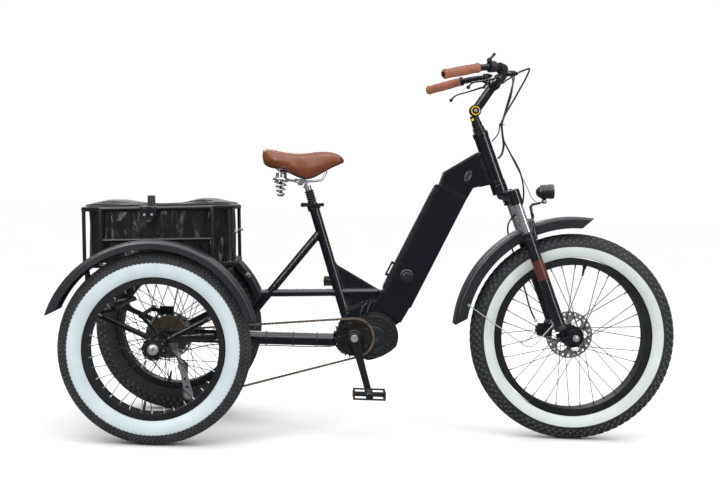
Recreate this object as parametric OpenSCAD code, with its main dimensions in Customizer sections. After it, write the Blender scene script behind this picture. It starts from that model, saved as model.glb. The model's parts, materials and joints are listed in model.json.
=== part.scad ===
// Adult cargo tricycle with a mid-drive motor, two rear wheels and a caged cargo basket.
// +X points forward, +Z up, the drive side is -Y. The origin is on the ground, below the middle of the object.

/* [Wheels] */
// Distance from the rear axle to the front axle
wheelbase = 1360; // [1340:1:1380]
// Distance between the middles of the rear tyres
track = 760; // [750:1:770]
// Outer radius of a rear tyre
rear_r = 299; // [297:1:300]
// Outer radius of the front tyre
front_r = 346.5; // [345:0.5:348]
// Radius of a rear tyre's round section
rear_section_r = 48; // [46:1:49]
// Radius of the front tyre's round section
front_section_r = 49; // [47:1:50]
// Spokes in each wheel
spoke_count = 36; // [24:12:36]

/* [Frame] */
// Angle of the head tube from the horizontal
head_angle = 68.4; // [68:0.1:69]
// Angle of the down tube from the horizontal
down_angle = 65; // [64.5:0.5:65.5]
// Width of the down tube
beam_w = 78; // [76:1:84]
// Depth of the down tube with its battery cover
beam_d = 113; // [111:1:116]
// Outer radius of the seat tube
seat_tube_r = 17; // [16.5:0.5:18]
// Outer radius of the main tube between the motor and the rear axle
main_tube_r = 22; // [20:1:22]
// Travel of the sprung fork
fork_travel = 50; // [30:5:60]

/* [Basket] */
// Length of the basket cage
basket_l = 494; // [480:2:500]
// Width of the basket cage
basket_w = 490; // [470:2:500]
// Height of the basket cage
basket_h = 196; // [180:2:200]
// Radius of the basket's tubes
basket_tube_r = 7.5; // [6:0.5:8]
// Nose-up pitch of the basket
basket_pitch = 3; // [2:0.5:4]

/* [Drive] */
// Length of a crank arm between its centres
crank_l = 184; // [170:1:186]
// Pitch radius of the chainring
ring_r = 65; // [61:1:67]
// Pitch radius of the sprocket that the chain runs on
cog_r = 25; // [22:1:27]

/* [Hidden] */
$fn = 48;

// Gap between parts that move past each other, and the looser gap around parts that only sit close
fit = 0.05;
gap = 0.4;
wall = 3;

// Middle of the object along X, measured from the rear axle, which every module below is written from
fender_tail = 334.7;
mid_x = (wheelbase + front_r - fender_tail) / 2;
rear_axle = [0, 0, rear_r];
front_axle = [wheelbase, 0, front_r];

// Steering axis: passes through head_low, leans back by the head angle
head_low = [1090, 0, 848];
head_up = [-cos(head_angle), 0, sin(head_angle)];
head_ahead = [sin(head_angle), 0, cos(head_angle)];
head_l = 182;
head_r = 25;
steerer_r = 14.3;
leg_ahead = 30;
leg_y = 80;
stanchion_r = 15;
leg_r = 19.5;
hub_ahead = 36.6;

// Bottom bracket and motor
bb = [624, 0, 320];
spindle_r = 9;
motor_axis = [690, 0, 325];
motor_r = 80;
gearbox_r = 62;

// Down tube: corner at its lower rear end, s runs up the tube and n towards the rider
beam_low = [710, 0, 479];
beam_t = [cos(down_angle), 0, sin(down_angle)];
beam_n = [-sin(down_angle), 0, cos(down_angle)];
beam_l = 405;
cover_t = 9;
pack_d = 62;
pack_w = 60;
lock_s = 82;
lock_n = -52;

// Seat tube: axis point at its top and its downward direction
seat_top = [470, 0, 760];
seat_down = unit([131, 0, -390]);
seat_bore_r = 14;
post_r = 13.95;
upper_post_r = 11;

// Axle and its carrier
axle_r = 10;
hub_y = track / 2;
carrier_y = 290;
case_y = 62;

// Chain line and tangent runs, seen along Y from the drive side
chain_y = -50;
chain_w = 7;
chain_half = 3.5;
jockey_r = 18;
jockey_up = [54, 0, 205];
jockey_low = [80, 0, 112];
jockey_w = 6;

// Basket frame: its middle, measured from the rear axle
basket_mid = [-22, 0, 639];
chamfer = 62;

// Cables: outside radii of a hose and of a thin wire
hose_r = 2.5;
wire_r = 1.5;
cable_sides = 8;

function unit(v) = v / norm(v);
function along(p, d, l) = p + d * l;
function flip(p) = [p[0], -p[1], p[2]];
function flip_all(ps) = [for (p = ps) flip(p)];

// Point of the down tube's own frame, in the middle plane
function beam(s, n) = beam_low + beam_t * s + beam_n * n;

// Point on a Catmull-Rom curve through a to d, between b and c
function curve_point(a, b, c, d, t) =
    (2 * b + (c - a) * t + (2 * a - 5 * b + 4 * c - d) * t * t
    + (3 * b - a - 3 * c + d) * t * t * t) / 2;

// The curve through a list of points, with the given steps between each two
function smooth(p, steps) = [
    for (i = [0 : len(p) - 2])
        for (j = [0 : steps - 1])
            curve_point(p[max(i - 1, 0)], p[i], p[i + 1], p[min(i + 2, len(p) - 1)], j / steps),
    p[len(p) - 1]];

// Everything is drawn from the rear axle and moved to the object's own origin here
module placed() {
    translate([-mid_x, 0, 0]) children();
}

// Round bar between two points
module rod(a, b, r) {
    d = b - a;
    translate(a)
        rotate([0, acos(d[2] / norm(d)), atan2(d[1], d[0])])
            cylinder(h = norm(d), r = r);
}

// Round tube with a bore right through it
module pipe(a, b, r, bore) {
    d = unit(b - a);
    difference() {
        rod(a, b, r);
        rod(a - d, b + d, bore);
    }
}

// Bars joined end to end, with a slightly proud ball at each bend
module bent_rod(points, r, ball = 1.05) {
    for (i = [0 : len(points) - 2])
        rod(points[i], points[i + 1], r);
    for (i = [1 : 1 : len(points) - 2])
        translate(points[i]) sphere(r = r * ball);
}

// Cylinder along Y between two Y values, centred on an X, Z place
module disc(p, y0, y1, r) {
    translate([p[0], y1, p[2]])
        rotate([90, 0, 0])
            cylinder(h = y1 - y0, r = r);
}

// Plate in the X, Z plane between two Y values
module plate(points, y0, y1) {
    translate([0, y1, 0])
        rotate([90, 0, 0])
            linear_extrude(height = y1 - y0)
                polygon(points);
}

// Box in the down tube's frame
module beam_box(s0, s1, n0, n1, w) {
    translate(beam(s0, n0))
        rotate([0, -down_angle, 0])
            translate([0, -w / 2, 0])
                cube([s1 - s0, w, n1 - n0]);
}

// Turns a profile drawn with its first axis as radius about the Y axis through p
module revolve_y(p, degrees = 360, start = 0) {
    translate(p)
        rotate([90, 0, 0])
            rotate([0, 0, start])
                rotate_extrude(angle = degrees, $fn = 96)
                    children();
}

// Cable swept along points, closed at both ends
module cable(points, r, side = [0, 1, 0]) {
    n = len(points);
    tangents = [for (i = [0 : n - 1]) unit(points[min(i + 1, n - 1)] - points[max(i - 1, 0)])];
    rings = [
        for (i = [0 : n - 1])
            let (u = unit(cross(tangents[i], side)), v = cross(u, tangents[i]))
                for (k = [0 : cable_sides - 1])
                    points[i] + u * r * cos(360 * k / cable_sides) + v * r * sin(360 * k / cable_sides)];
    skin = [
        for (i = [0 : n - 2])
            for (k = [0 : cable_sides - 1])
                for (f = [0 : 1])
                    let (
                        a = i * cable_sides + k,
                        b = i * cable_sides + (k + 1) % cable_sides)
                        f == 0 ? [a, b, a + cable_sides] : [b, b + cable_sides, a + cable_sides]];
    first = [for (k = [cable_sides - 1 : -1 : 0]) k];
    last = [for (k = [0 : cable_sides - 1]) (n - 1) * cable_sides + k];
    polyhedron(points = rings, faces = concat(skin, [first], [last]));
}

/* ---------- frame ---------- */

// Outline of the nose that joins the down tube to the head tube
nose = [[878, 800], [906, 884], [1016, 954], [1060, 850], [1003, 833], [985, 800], [935, 700]];
neck = [[990, 930], [1036, 962], [1082, 852], [1030, 838]];

module down_tube() {
    difference() {
        union() {
            beam_box(-8, beam_l - 1, -beam_d, -cover_t, beam_w);
            plate(nose, -beam_w / 2 + 0.6, beam_w / 2 - 0.6);
            plate(neck, -19, 19);
            plate([[690, 440], [712, 480], [790, 470], [806, 426], [778, 374], [740, 395]],
                -beam_w / 2 + 0.6, beam_w / 2 - 0.6);
        }
        beam_box(10, beam_l - 12, -cover_t - pack_d - 1, 1, pack_w + 1);
        disc(beam(lock_s, lock_n), -beam_w, -pack_w / 2 - 1, 8 + gap);
    }
}

module head_tube() {
    top = along(head_low, head_up, head_l);
    difference() {
        union() {
            rod(head_low, top, head_r);
            rod(along(head_low, head_up, -2), along(head_low, head_up, 12), head_r + 1.5);
            rod(along(head_low, head_up, head_l - 12), along(head_low, head_up, head_l + 2), head_r + 1.5);
        }
        rod(along(head_low, head_up, -10), along(head_low, head_up, head_l + 10), steerer_r + fit);
    }
}

module seat_tube() {
    difference() {
        rod(seat_top, [603, 0, 366], seat_tube_r);
        rod(along(seat_top, seat_down, -5), along(seat_top, seat_down, 250), seat_bore_r);
        translate(along(seat_top, seat_down, 20))
            rotate([0, 18.6, 0])
                cube([60, 2, 50], center = true);
    }
}

// Curved cradle that the motor hangs in
module motor_cradle() {
    difference() {
        plate([[570, 356], [582, 384], [606, 416], [700, 450], [776, 376], [745, 350], [640, 330]], -30, 30);
        disc(motor_axis, -40, 40, motor_r + 2 + gap);
        disc(bb, -40, 40, gearbox_r + gap);
    }
}

module main_frame() {
    color("#15171d") placed() difference() {
        union() {
            down_tube();
            head_tube();
            seat_tube();
            motor_cradle();
            plate([[530, 600], [560, 559], [708, 478], [704, 440], [606, 388], [590, 395]], -6, 6);
            bent_rod([[499, 0, 669.5], [262, 0, 362], [250, 0, 318]], 13);
            rod([306, 0, 455], [700, 0, 473], 12.5);
            rod([70, 0, 303], [566, 0, 307], main_tube_r);
        }
        rod(along(head_low, head_up, -10), along(head_low, head_up, head_l + 10), steerer_r + fit);
        rod(along(seat_top, seat_down, -5), along(seat_top, seat_down, 250), seat_bore_r);
        disc(bb, -60, 60, gearbox_r + gap);
        beam_box(10, beam_l - 12, -cover_t - pack_d - 1, 1, pack_w + 1);
    }
}

/* ---------- rear subframe, fenders, brake ---------- */

function basket_point(x, y, z) =
    let (c = cos(basket_pitch), s = sin(basket_pitch))
        basket_mid + [x * c - z * s, y, x * s + z * c];

module side_struts(y) {
    bent_rod([[-18, y, 309], [-211, y, 387], [-240, y, basket_point(-218, 0, -basket_h / 2)[2] - 8]], 9, 1.15);
    bent_rod([[18, y, 309], [186, y, 402], [190, y, basket_point(212, 0, -basket_h / 2)[2] - 8]], 9, 1.15);
}

module rear_subframe() {
    color("#17181b") placed() difference() {
        union() {
            disc(rear_axle, -carrier_y, -case_y - 8, 20);
            disc(rear_axle, case_y + 8, carrier_y, 20);
            disc(rear_axle, -carrier_y - 12, -carrier_y + 18, 27);
            disc(rear_axle, carrier_y - 18, carrier_y + 12, 27);
            for (side = [-1, 1]) {
                side_struts(side * 232);
                disc([0, 0, 308], side * 232 - 11, side * 232 + 11, 26);
                rod([25, side * 226, 312], [150, side * 30, 305], 11);
                rod([-4, side * 180, rear_r + 18], [-70, side * 180, 380], 6);
                plate([[96, 292], [96, 330], [-16, 322], [-16, 280]], side * 72 - 6, side * 72 + 6);
                rod([90, side * 66, 302], [150, side * 20, 304], 9);
            }
            rod([-150, -238, 404], [-150, 238, 404], 8);
            rod([-70, -190, 380], [-70, 190, 380], 7.2);
            rod([189, -238, 518], [189, 238, 518], 7.5);
            rod([-237, -238, 498], [-237, 238, 498], 7.5);
            for (side = [-1, 1])
                rod([-140, side * 232, 404], [-206, side * 232, 391], 7);
        }
        rod([60, 0, 303], [400, 0, 307], main_tube_r + 0.3);
        rod([0, -400, rear_r], [0, 400, rear_r], axle_r + fit);
        disc(rear_axle, -carrier_y - 20, -carrier_y + 4, 16);
        disc(rear_axle, carrier_y - 4, carrier_y + 20, 16);
    }
}

// Half width, crown radius and lip depth set the fender's channel section
module fender_section(r, half, lip) {
    difference() {
        union() {
            translate([r - lip, -half]) square([lip - 10, 2 * half]);
            translate([r - 10 - 1, -half + 9]) square([11, 2 * half - 18]);
            translate([r - 10, -half + 10]) circle(r = 10);
            translate([r - 10, half - 10]) circle(r = 10);
        }
        translate([r - lip - 1, -half + wall]) square([lip - 9, 2 * half - 2 * wall]);
        translate([r - 12, -half + 10]) square([12 - wall, 2 * half - 20]);
        translate([r - 10, -half + 10]) circle(r = 10 - wall);
        translate([r - 10, half - 10]) circle(r = 10 - wall);
    }
}

// Wedge that trims a fender's end: from its outer corner to its inner corner, and all that lies beyond
module end_trim(c, outer_at, outer_r, inner_at, inner_r, away, half) {
    outer = c + outer_r * [cos(outer_at), 0, sin(outer_at)];
    inner = c + inner_r * [cos(inner_at), 0, sin(inner_at)];
    beyond = away * 90 * [-sin(outer_at), 0, cos(outer_at)];
    cut = (outer - inner) * 0.5;
    corners = [outer + cut, inner - cut, inner - cut + beyond, outer + cut + beyond];
    plate([for (p = corners) [p[0], p[2]]], -half - 5, half + 5);
}

fender_c = [-12, 0, 297];
fender_r = 336;
fender_half = 56;
fender_lip = 27;
fender_from = 18;
fender_to = 164.5;

module rear_fender(y) {
    difference() {
        translate([0, y, 0])
            revolve_y(fender_c, fender_to - fender_from, fender_from)
                fender_section(fender_r, fender_half, fender_lip);
        translate([0, y, 0])
            end_trim(fender_c, 163.9, fender_r, 158, fender_r - 30, 1, fender_half);
    }
    inner = y < 0 ? y + fender_half - 2 : y - fender_half + 2;
    reach = y < 0 ? 243 : -243;
    for (at = [38, 128])
        let (p = fender_c + [(fender_r - 12) * cos(at), 0, (fender_r - 12) * sin(at)])
            rod([p[0], inner, p[2]], [p[0], -reach, p[2] - 4], 6);
}

module rear_fender_right() {
    color("#3a3c40") placed() rear_fender(-hub_y);
}

module rear_fender_left() {
    color("#3a3c40") placed() rear_fender(hub_y);
}

module rear_caliper() {
    color("#22242a") placed() difference() {
        union() {
            translate([-34, 31, 368]) cube([46, 26, 28]);
            translate([-22, 24, 374]) cube([24, 40, 16]);
            disc([-24, 0, 386], 22, 66, 8);
            rod([-11, 66, 381], [-70, 74, 380], 6);
        }
        translate([-40, 41, 360]) cube([60, 5, 22]);
        rod([-70, 0, 380], [-70, 90, 380], 7 + 0.2);
    }
}

/* ---------- basket ---------- */

// Corners of the cage seen from above, with each corner cut by the chamfer
function cage_corners(inset) =
    let (x = basket_l / 2 - basket_tube_r - inset, y = basket_w / 2 - basket_tube_r - inset, c = chamfer)
        [[x - c, -y], [x, -y + c], [x, y - c], [x - c, y],
            [-x + c, y], [-x, y - c], [-x, -y + c], [-x + c, -y]];

module cage_loop(z) {
    corners = cage_corners(0);
    for (i = [0 : 7])
        let (a = corners[i], b = corners[(i + 1) % 8]) {
            rod([a[0], a[1], z], [b[0], b[1], z], basket_tube_r);
            translate([a[0], a[1], z]) sphere(r = basket_tube_r * 1.05);
        }
}

module basket_frame() {
    top = basket_h / 2 - basket_tube_r;
    corners = cage_corners(0);
    color("#24262a") placed() translate(basket_mid) rotate([0, -basket_pitch, 0]) {
        cage_loop(top);
        cage_loop(-top);
        for (c = corners)
            rod([c[0], c[1], -top], [c[0], c[1], top], 6);
        for (side = [-1, 1])
            rod([corners[5][0] + 2 * chamfer - 54, side * corners[3][1], -10],
                [corners[0][0], side * corners[3][1], -10], 5);
        for (x = [-150, -50, 50, 150])
            rod([x, -corners[3][1], -top], [x, corners[3][1], -top], 5);
        for (x = [-150, 150])
            rod([x, -corners[3][1], -top], [x, -corners[3][1], -top + 12], 6.5);
    }
}

module basket_liner() {
    inner = 10 + basket_tube_r;
    tray = cage_corners(inner);
    color("#1b1c1f") placed() translate(basket_mid) rotate([0, -basket_pitch, 0]) difference() {
        translate([0, 0, -basket_h / 2 + 16])
            linear_extrude(height = basket_h - 16) polygon(tray);
        translate([0, 0, -basket_h / 2 + 16 + wall])
            linear_extrude(height = basket_h)
                polygon([for (c = tray) [c[0] - sign(c[0]) * wall, c[1] - sign(c[1]) * wall]]);
    }
}

// Soft lid with two low peaks, resting on the liner's rim
module basket_cover() {
    lid = cage_corners(6);
    z = basket_h / 2 + 1;
    color("#1f2023") placed() translate(basket_mid) rotate([0, -basket_pitch, 0]) union() {
        translate([0, 0, z]) linear_extrude(height = 8) polygon(lid);
        hull() for (x = [-205, 205])
            translate([x * 0.62, 0, z + 8])
                linear_extrude(height = 14, scale = [0.4, 0.9]) square([190, 440], center = true);
    }
}

/* ---------- rear wheels ---------- */

module tyre(p, r, section, y0) {
    centre = r - section;
    revolve_y([p[0], y0, p[2]])
        difference() {
            translate([centre, 0]) circle(r = section, $fn = 64);
            translate([centre, 0]) circle(r = section - 7, $fn = 64);
            translate([centre - section - 1, -section]) square([section * 0.34, 2 * section]);
        }
}

// Double-walled rim that the tyre's beads sit in
module rim(p, r, section, y0, depth) {
    bead = r - 2 * section + section * 0.34;
    revolve_y([p[0], y0, p[2]])
        difference() {
            union() {
                translate([bead - depth, -34]) square([depth - 7, 68]);
                translate([bead - depth, -37]) square([depth - 1.4, 6]);
                translate([bead - depth, 31]) square([depth - 1.4, 6]);
            }
            translate([bead - depth + wall, -30]) square([depth - 13, 60]);
        }
}

// Crossed spokes from the hub flanges to the rim, each a separate bar with bare gaps at its ends
module spokes(p, rim_r, hub_r, flange_y, y0, spoke_r) {
    for (i = [0 : spoke_count - 1])
        let (
            side = i % 2 == 0 ? 1 : -1,
            lead = floor(i / 2) % 2 == 0 ? 1 : -1,
            at = 360 * i / spoke_count,
            hub_at = at + lead * 62,
            hub_y0 = y0 + side * (flange_y + lead * (spoke_r + 3.2)),
            a = [p[0] + hub_r * cos(hub_at), hub_y0, p[2] + hub_r * sin(hub_at)],
            b = [p[0] + rim_r * cos(at), y0 + side * (14 + lead * 2), p[2] + rim_r * sin(at)])
            rod(a, b, spoke_r);
}

rear_rim_depth = 19;
front_rim_depth = 23;
rear_rim_in = rear_r - 2 * rear_section_r + rear_section_r * 0.34 - rear_rim_depth;
front_rim_in = front_r - 2 * front_section_r + front_section_r * 0.34 - front_rim_depth;
flange_half = 30;

// Hub on its half shaft, which reaches the differential
module rear_hub(side) {
    y0 = side * hub_y;
    ends = [y0 - 48, y0 + 48];
    shaft_in = side * 26;
    shaft_out = y0 + side * 46;
    union() {
        disc(rear_axle, min(shaft_in, shaft_out), max(shaft_in, shaft_out), axle_r);
        disc(rear_axle, ends[0] + 8, ends[1] - 8, 22);
        for (f = [-1, 1])
            disc(rear_axle, y0 + f * flange_half - 1.6, y0 + f * flange_half + 1.6, 36);
        disc(rear_axle, side > 0 ? ends[1] - 10 : ends[0], side > 0 ? ends[1] : ends[0] + 10, 17);
        translate([0, y0 + side * 41, rear_r]) sphere(r = 16);
    }
}

module rear_tyre_right() {
    color("#2b2c2f") placed() tyre(rear_axle, rear_r, rear_section_r, -hub_y);
}

module rear_tyre_left() {
    color("#2b2c2f") placed() tyre(rear_axle, rear_r, rear_section_r, hub_y);
}

module rear_rim_right() {
    color("#151517") placed() rim(rear_axle, rear_r, rear_section_r, -hub_y, rear_rim_depth);
}

module rear_rim_left() {
    color("#151517") placed() rim(rear_axle, rear_r, rear_section_r, hub_y, rear_rim_depth);
}

module rear_spokes_right() {
    color("#303236") placed() spokes(rear_axle, rear_rim_in - 0.6, 32, flange_half, -hub_y, 1.2);
}

module rear_spokes_left() {
    color("#303236") placed() spokes(rear_axle, rear_rim_in - 0.6, 32, flange_half, hub_y, 1.2);
}

module rear_hub_right() {
    color("#1a1b1e") placed() rear_hub(-1);
}

module rear_hub_left() {
    color("#1a1b1e") placed() rear_hub(1);
}

/* ---------- front wheel ---------- */

module front_tyre() {
    color("#2b2c2f") placed() tyre(front_axle, front_r, front_section_r, 0);
}

module front_rim() {
    color("#151517") placed() rim(front_axle, front_r, front_section_r, 0, front_rim_depth);
}

module front_spokes() {
    color("#303236") placed() spokes(front_axle, front_rim_in - 0.6, 32, flange_half, 0, 1.2);
}

module front_hub() {
    color("#1a1b1e") placed() difference() {
        union() {
            disc(front_axle, -54, 54, 19);
            for (f = [-1, 1])
                disc(front_axle, f * flange_half - 1.6, f * flange_half + 1.6, 36);
            disc(front_axle, -56, -44, 27);
            disc(front_axle, 40, 50, 26);
        }
        disc(front_axle, -60, 60, 6 + fit);
    }
}

// Brake disc with a ring of vents and six arms
module rotor(p, y0, y1, bore) {
    difference() {
        disc(p, y0, y1, 80);
        disc(p, y0 - 1, y1 + 1, bore);
        for (i = [0 : 5])
            translate([p[0] + 46 * cos(60 * i), 0, p[2] + 46 * sin(60 * i)])
                disc([0, 0, 0], y0 - 1, y1 + 1, 16);
        for (i = [0 : 23])
            translate([p[0] + 71 * cos(15 * i), 0, p[2] + 71 * sin(15 * i)])
                disc([0, 0, 0], y0 - 1, y1 + 1, 3.4);
    }
}

module front_rotor() {
    color("#8d9094") placed() rotor(front_axle, 50.2, 52, 19.1);
}

/* ---------- fork ---------- */

// Point on a fork leg's axis at distance l below the crown plane
crown_mid = along(head_low, head_up, -45);
function leg(side, l) = crown_mid + head_ahead * leg_ahead + [0, side * leg_y, 0] - head_up * l;

module fork_crown() {
    color("#26282c") placed() difference() {
        union() {
            rod(along(head_low, head_up, -30), along(head_low, head_up, head_l + 18), steerer_r);
            rod(along(head_low, head_up, -30), along(head_low, head_up, -3), head_r + 2);
            for (side = [-1, 1]) {
                rod(leg(side, -12), leg(side, 34), 21);
                rod(along(head_low, head_up, -36), leg(side, 8), 17);
            }
        }
        for (side = [-1, 1])
            rod(leg(side, -20), leg(side, 50), stanchion_r);
    }
}

module fork_stanchions() {
    color("#d5d8db") placed() for (side = [-1, 1])
        rod(leg(side, -12), leg(side, stanchion_end), stanchion_r);
}

lower_top = 138;
stanchion_end = 262;

// Point on the arch that joins the lower legs, above and ahead of the fender
function arch_point(side, drop) = along(leg(side, lower_top - 32 + drop), head_ahead, 27.5 - drop / 6);

dropout_l = 466;

module fork_lowers() {
    color("#1d1f23") placed() difference() {
        union() {
            for (side = [-1, 1]) {
                rod(leg(side, lower_top), leg(side, dropout_l + 10), leg_r);
                rod(leg(side, lower_top), leg(side, lower_top + 16), leg_r + 2);
                translate([wheelbase, side * (leg_y - 9), front_r])
                    rotate([0, head_angle - 90, 0])
                        translate([-hub_ahead - 4, -5, -13]) cube([hub_ahead + 17, 10, 26]);
            }
            for (side = [-1, 1]) {
                rod(arch_point(side, 60), arch_point(side * 0.9, 0), 9);
                translate(arch_point(side * 0.9, 0)) sphere(r = 9.1);
            }
            rod(arch_point(-0.9, 0), arch_point(0.9, 0), 9);
            disc(front_axle, -leg_y - 4, leg_y + 4, 6);
            disc(front_axle, -leg_y - 8, -leg_y + 4, 11);
            disc(front_axle, leg_y - 4, leg_y + 8, 11);
        }
        for (side = [-1, 1])
            rod(leg(side, lower_top - 10), leg(side, stanchion_end + fork_travel + 8), stanchion_r + fit);
    }
}

front_fender_c = [wheelbase + 2, 0, 346];
front_fender_r = 404;
front_fender_half = 57;
front_fender_lip = 38;
front_lip_r = front_fender_r - front_fender_lip;

module front_fender() {
    color("#3a3c40") placed() difference() {
        revolve_y(front_fender_c, 177 - 82, 82)
            fender_section(front_fender_r, front_fender_half, front_fender_lip);
        end_trim(front_fender_c, 176, front_fender_r, 172, front_lip_r, 1, front_fender_half);
        end_trim(front_fender_c, 83, front_fender_r, 88.5, front_lip_r, -1, front_fender_half);
        rod(arch_point(-0.9, 0), arch_point(0.9, 0), 9 + gap);
    }
}

module front_caliper() {
    color("#1f2125") placed() difference() {
        union() {
            translate([1252, 40, 340]) cube([48, 26, 42]);
            translate([1246, 36, 350]) cube([26, 34, 24]);
            rod([1278, 62, 382], [1290, 70, 392], 7);
            rod([1278, 62, 340], [1300, 68, 330], 7);
        }
        translate([1236, 49, 320]) cube([80, 4.4, 90]);
        rod(leg(1, lower_top), leg(1, dropout_l + 20), leg_r + 0.2);
        disc(front_axle, 30, 60, 27);
    }
}

light_pivot = [1248, 0, 797];

module light_bracket() {
    color("#1d1f23") placed() difference() {
        union() {
            bent_rod([[1210, 0, 748], [1203, 0, 778], [1209, 0, 786], [1233, 0, 792]], 4.5);
            translate([1208.5, -14, 722]) cube([5, 28, 34]);
            disc(light_pivot, -13, -9.4, 7);
            disc(light_pivot, 9.4, 13, 7);
            rod([1231, -12.3, 792], [1245, -12.3, 796], 2.6);
            rod([1231, 12.3, 792], [1245, 12.3, 796], 2.6);
            rod([1231, -13, 792], [1231, 13, 792], 4);
        }
        disc(light_pivot, -20, 20, 3 + fit);
        translate(front_fender_c)
            rotate([90, 0, 0])
                cylinder(h = 200, r = front_fender_r + gap, center = true, $fn = 128);
    }
}

module headlight() {
    back = [1234, 0, 829.3];
    front = [1276, 0, 832];
    color("#232529") placed() union() {
        rod(back, [1270, 0, 831.7], 22);
        rod([1262, 0, 831.2], front, 24.5);
        translate([1240, 0, 829.6]) sphere(r = 21.2);
        disc(light_pivot, -14, 14, 3);
        disc(light_pivot, -9, 9, 7);
        translate([1242, -7, 795]) cube([12, 14, 16]);
        for (i = [0 : 4])
            rod([1237 + 6 * i, 0, 829.5 + 0.39 * i], [1240 + 6 * i, 0, 829.7 + 0.39 * i], 24);
    }
}

/* ---------- stem and handlebar ---------- */

stem_pivot = [1003, 0, 1093];
bar_mid = [1062, 0, 1184];
stem_top = along(head_low, head_up, head_l + 20);

module stem_base() {
    color("#1a1c22") placed() difference() {
        union() {
            rod(along(head_low, head_up, head_l + 3), along(head_low, head_up, head_l + 40), 17);
            difference() {
                rod(along(head_low, head_up, head_l + 36), stem_pivot - [4, 0, 16], 15);
                disc(stem_pivot, -30, -9, 20);
                disc(stem_pivot, 9, 30, 20);
            }
            disc(stem_pivot, -9, 9, 20);
        }
        rod(along(head_low, head_up, head_l), along(head_low, head_up, head_l + 20), steerer_r);
        disc(stem_pivot, -20, 20, 6 + fit);
    }
}

module stem_arm() {
    reach = unit(bar_mid - stem_pivot);
    color("#1a1c22") placed() difference() {
        union() {
            for (side = [-1, 1])
                disc(stem_pivot, side < 0 ? -18 : 9 + gap, side < 0 ? -9 - gap : 18, 19);
            disc(stem_pivot, -20, 20, 6);
            difference() {
                rod(stem_pivot + reach * 12, bar_mid - reach * 12, 16);
                disc(stem_pivot, -9 - gap, 9 + gap, 21);
            }
            disc(bar_mid, -24, 24, 21);
        }
        disc(bar_mid, -30, 30, 15.9);
    }
}

// Route of one half of the bar, from the clamp to the end inside the grip
bar_route = [[1062, 0, 1184], [1062, 46, 1184], [1082, 120, 1202], [1078, 178, 1216],
    [1044, 222, 1224], [984, 258, 1214], [868, 336, 1182]];
grip_way = unit(bar_route[6] - bar_route[5]);
grip_from = along(bar_route[5], grip_way, 6);
grip_to = along(bar_route[6], grip_way, 3);
grip_bore = 11.1;

// Open bar ends that a plug or a mirror's stub slides into
bar_end_bore = 8.5;
bar_end_depth = 60;

module handlebar() {
    color("#1b1d21") placed() difference() {
        union() {
            disc(bar_mid, -40, 40, 15.8);
            for (half = [bar_route, flip_all(bar_route)])
                bent_rod(half, 11, 1.008);
        }
        for (half = [bar_route, flip_all(bar_route)])
            let (inwards = unit(half[5] - half[6]))
                rod(along(half[6], inwards, bar_end_depth), along(half[6], inwards, -4), bar_end_bore);
    }
}

module grips() {
    color("#a4623e") placed() for (f = [0, 1])
        let (a = f == 0 ? grip_from : flip(grip_from), b = f == 0 ? grip_to : flip(grip_to))
            pipe(a, b, 16, grip_bore);
}

// Perch of a brake lever and its clamp, drawn for the left side
lever_pivot = [1058, 196, 1192];
throttle_axis = [1018, 0, 1241];

module perch() {
    difference() {
        union() {
            rod([1070, 186, 1218], [1054, 208, 1221.5], 17);
            rod([1062, 196, 1214], [1062, 196, 1188], 9);
            disc([1058, 0, 1192], 186, 190.5, 9);
            disc([1058, 0, 1192], 201.5, 206, 9);
            rod([1062, 188, 1206], [1110, 166, 1208], 8);
        }
        rod([1079, 173, 1215.8], [1043, 223, 1224], 11.1);
        disc(lever_pivot, 180, 210, 3 + fit);
        disc(lever_pivot, 190.5, 201.5, 16);
    }
}

module controls() {
    color("#202227") placed() difference() {
        union() {
            perch();
            mirror([0, 1, 0]) perch();
            translate([1068, -34, 1204]) rotate([0, -18, 0]) cube([34, 68, 10]);
            for (side = [-1, 1])
                difference() {
                    disc([1062, 0, 1184], side < 0 ? -46 : 40.4, side < 0 ? -40.4 : 46, 14);
                    disc([1062, 0, 1184], -50, 50, 11.1);
                }
            translate([1066, 41, 1188]) cube([12, 5, 22]);
            translate([1066, -46, 1188]) cube([12, 5, 22]);
            difference() {
                rod([1036, -228, 1222], [1018, -240, 1219], 18);
                rod([1044, -222, 1224], [984, -258, 1214], 11.1);
                disc(throttle_axis, -244, -223.6, 8 + gap);
            }
        }
        bar_space = [bar_route[0], bar_route[1], bar_route[2], bar_route[3], bar_route[4], bar_route[5]];
        bent_rod(bar_space, 11.1);
        bent_rod(flip_all(bar_space), 11.1);
    }
}

module throttle_lever() {
    color("#17181b") placed() union() {
        disc(throttle_axis, -243, -224, 7.6);
        rod(throttle_axis + [0, -234, 3], [1033, -230, 1261], 4);
        translate([1033, -230, 1261]) sphere(r = 5);
    }
}

// Lever blade that runs below and ahead of the grip, drawn on one side and mirrored to the other
lever_tip = [947, 300, 1147];
lever_route = [[1055, 196, 1191], [1035, 197, 1185], [1008, 222, 1176], [964, 280, 1164], lever_tip];

module brake_lever(flipped) {
    tip = flipped ? flip(lever_tip) : lever_tip;
    y0 = flipped ? -lever_pivot[1] : lever_pivot[1];
    disc(lever_pivot, y0 - 5, y0 + 5, 8.5);
    bent_rod(flipped ? flip_all(lever_route) : lever_route, 4.6, 1.1);
    translate(tip) sphere(r = 6.5);
    disc(lever_pivot, y0 - 11, y0 + 11, 3);
}

module brake_lever_left() {
    color("#26282c") placed() mirror([0, 1, 0]) brake_lever(true);
}

module brake_lever_right() {
    color("#26282c") placed() mirror([0, 1, 0]) brake_lever(false);
}

/* ---------- cables ---------- */

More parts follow.
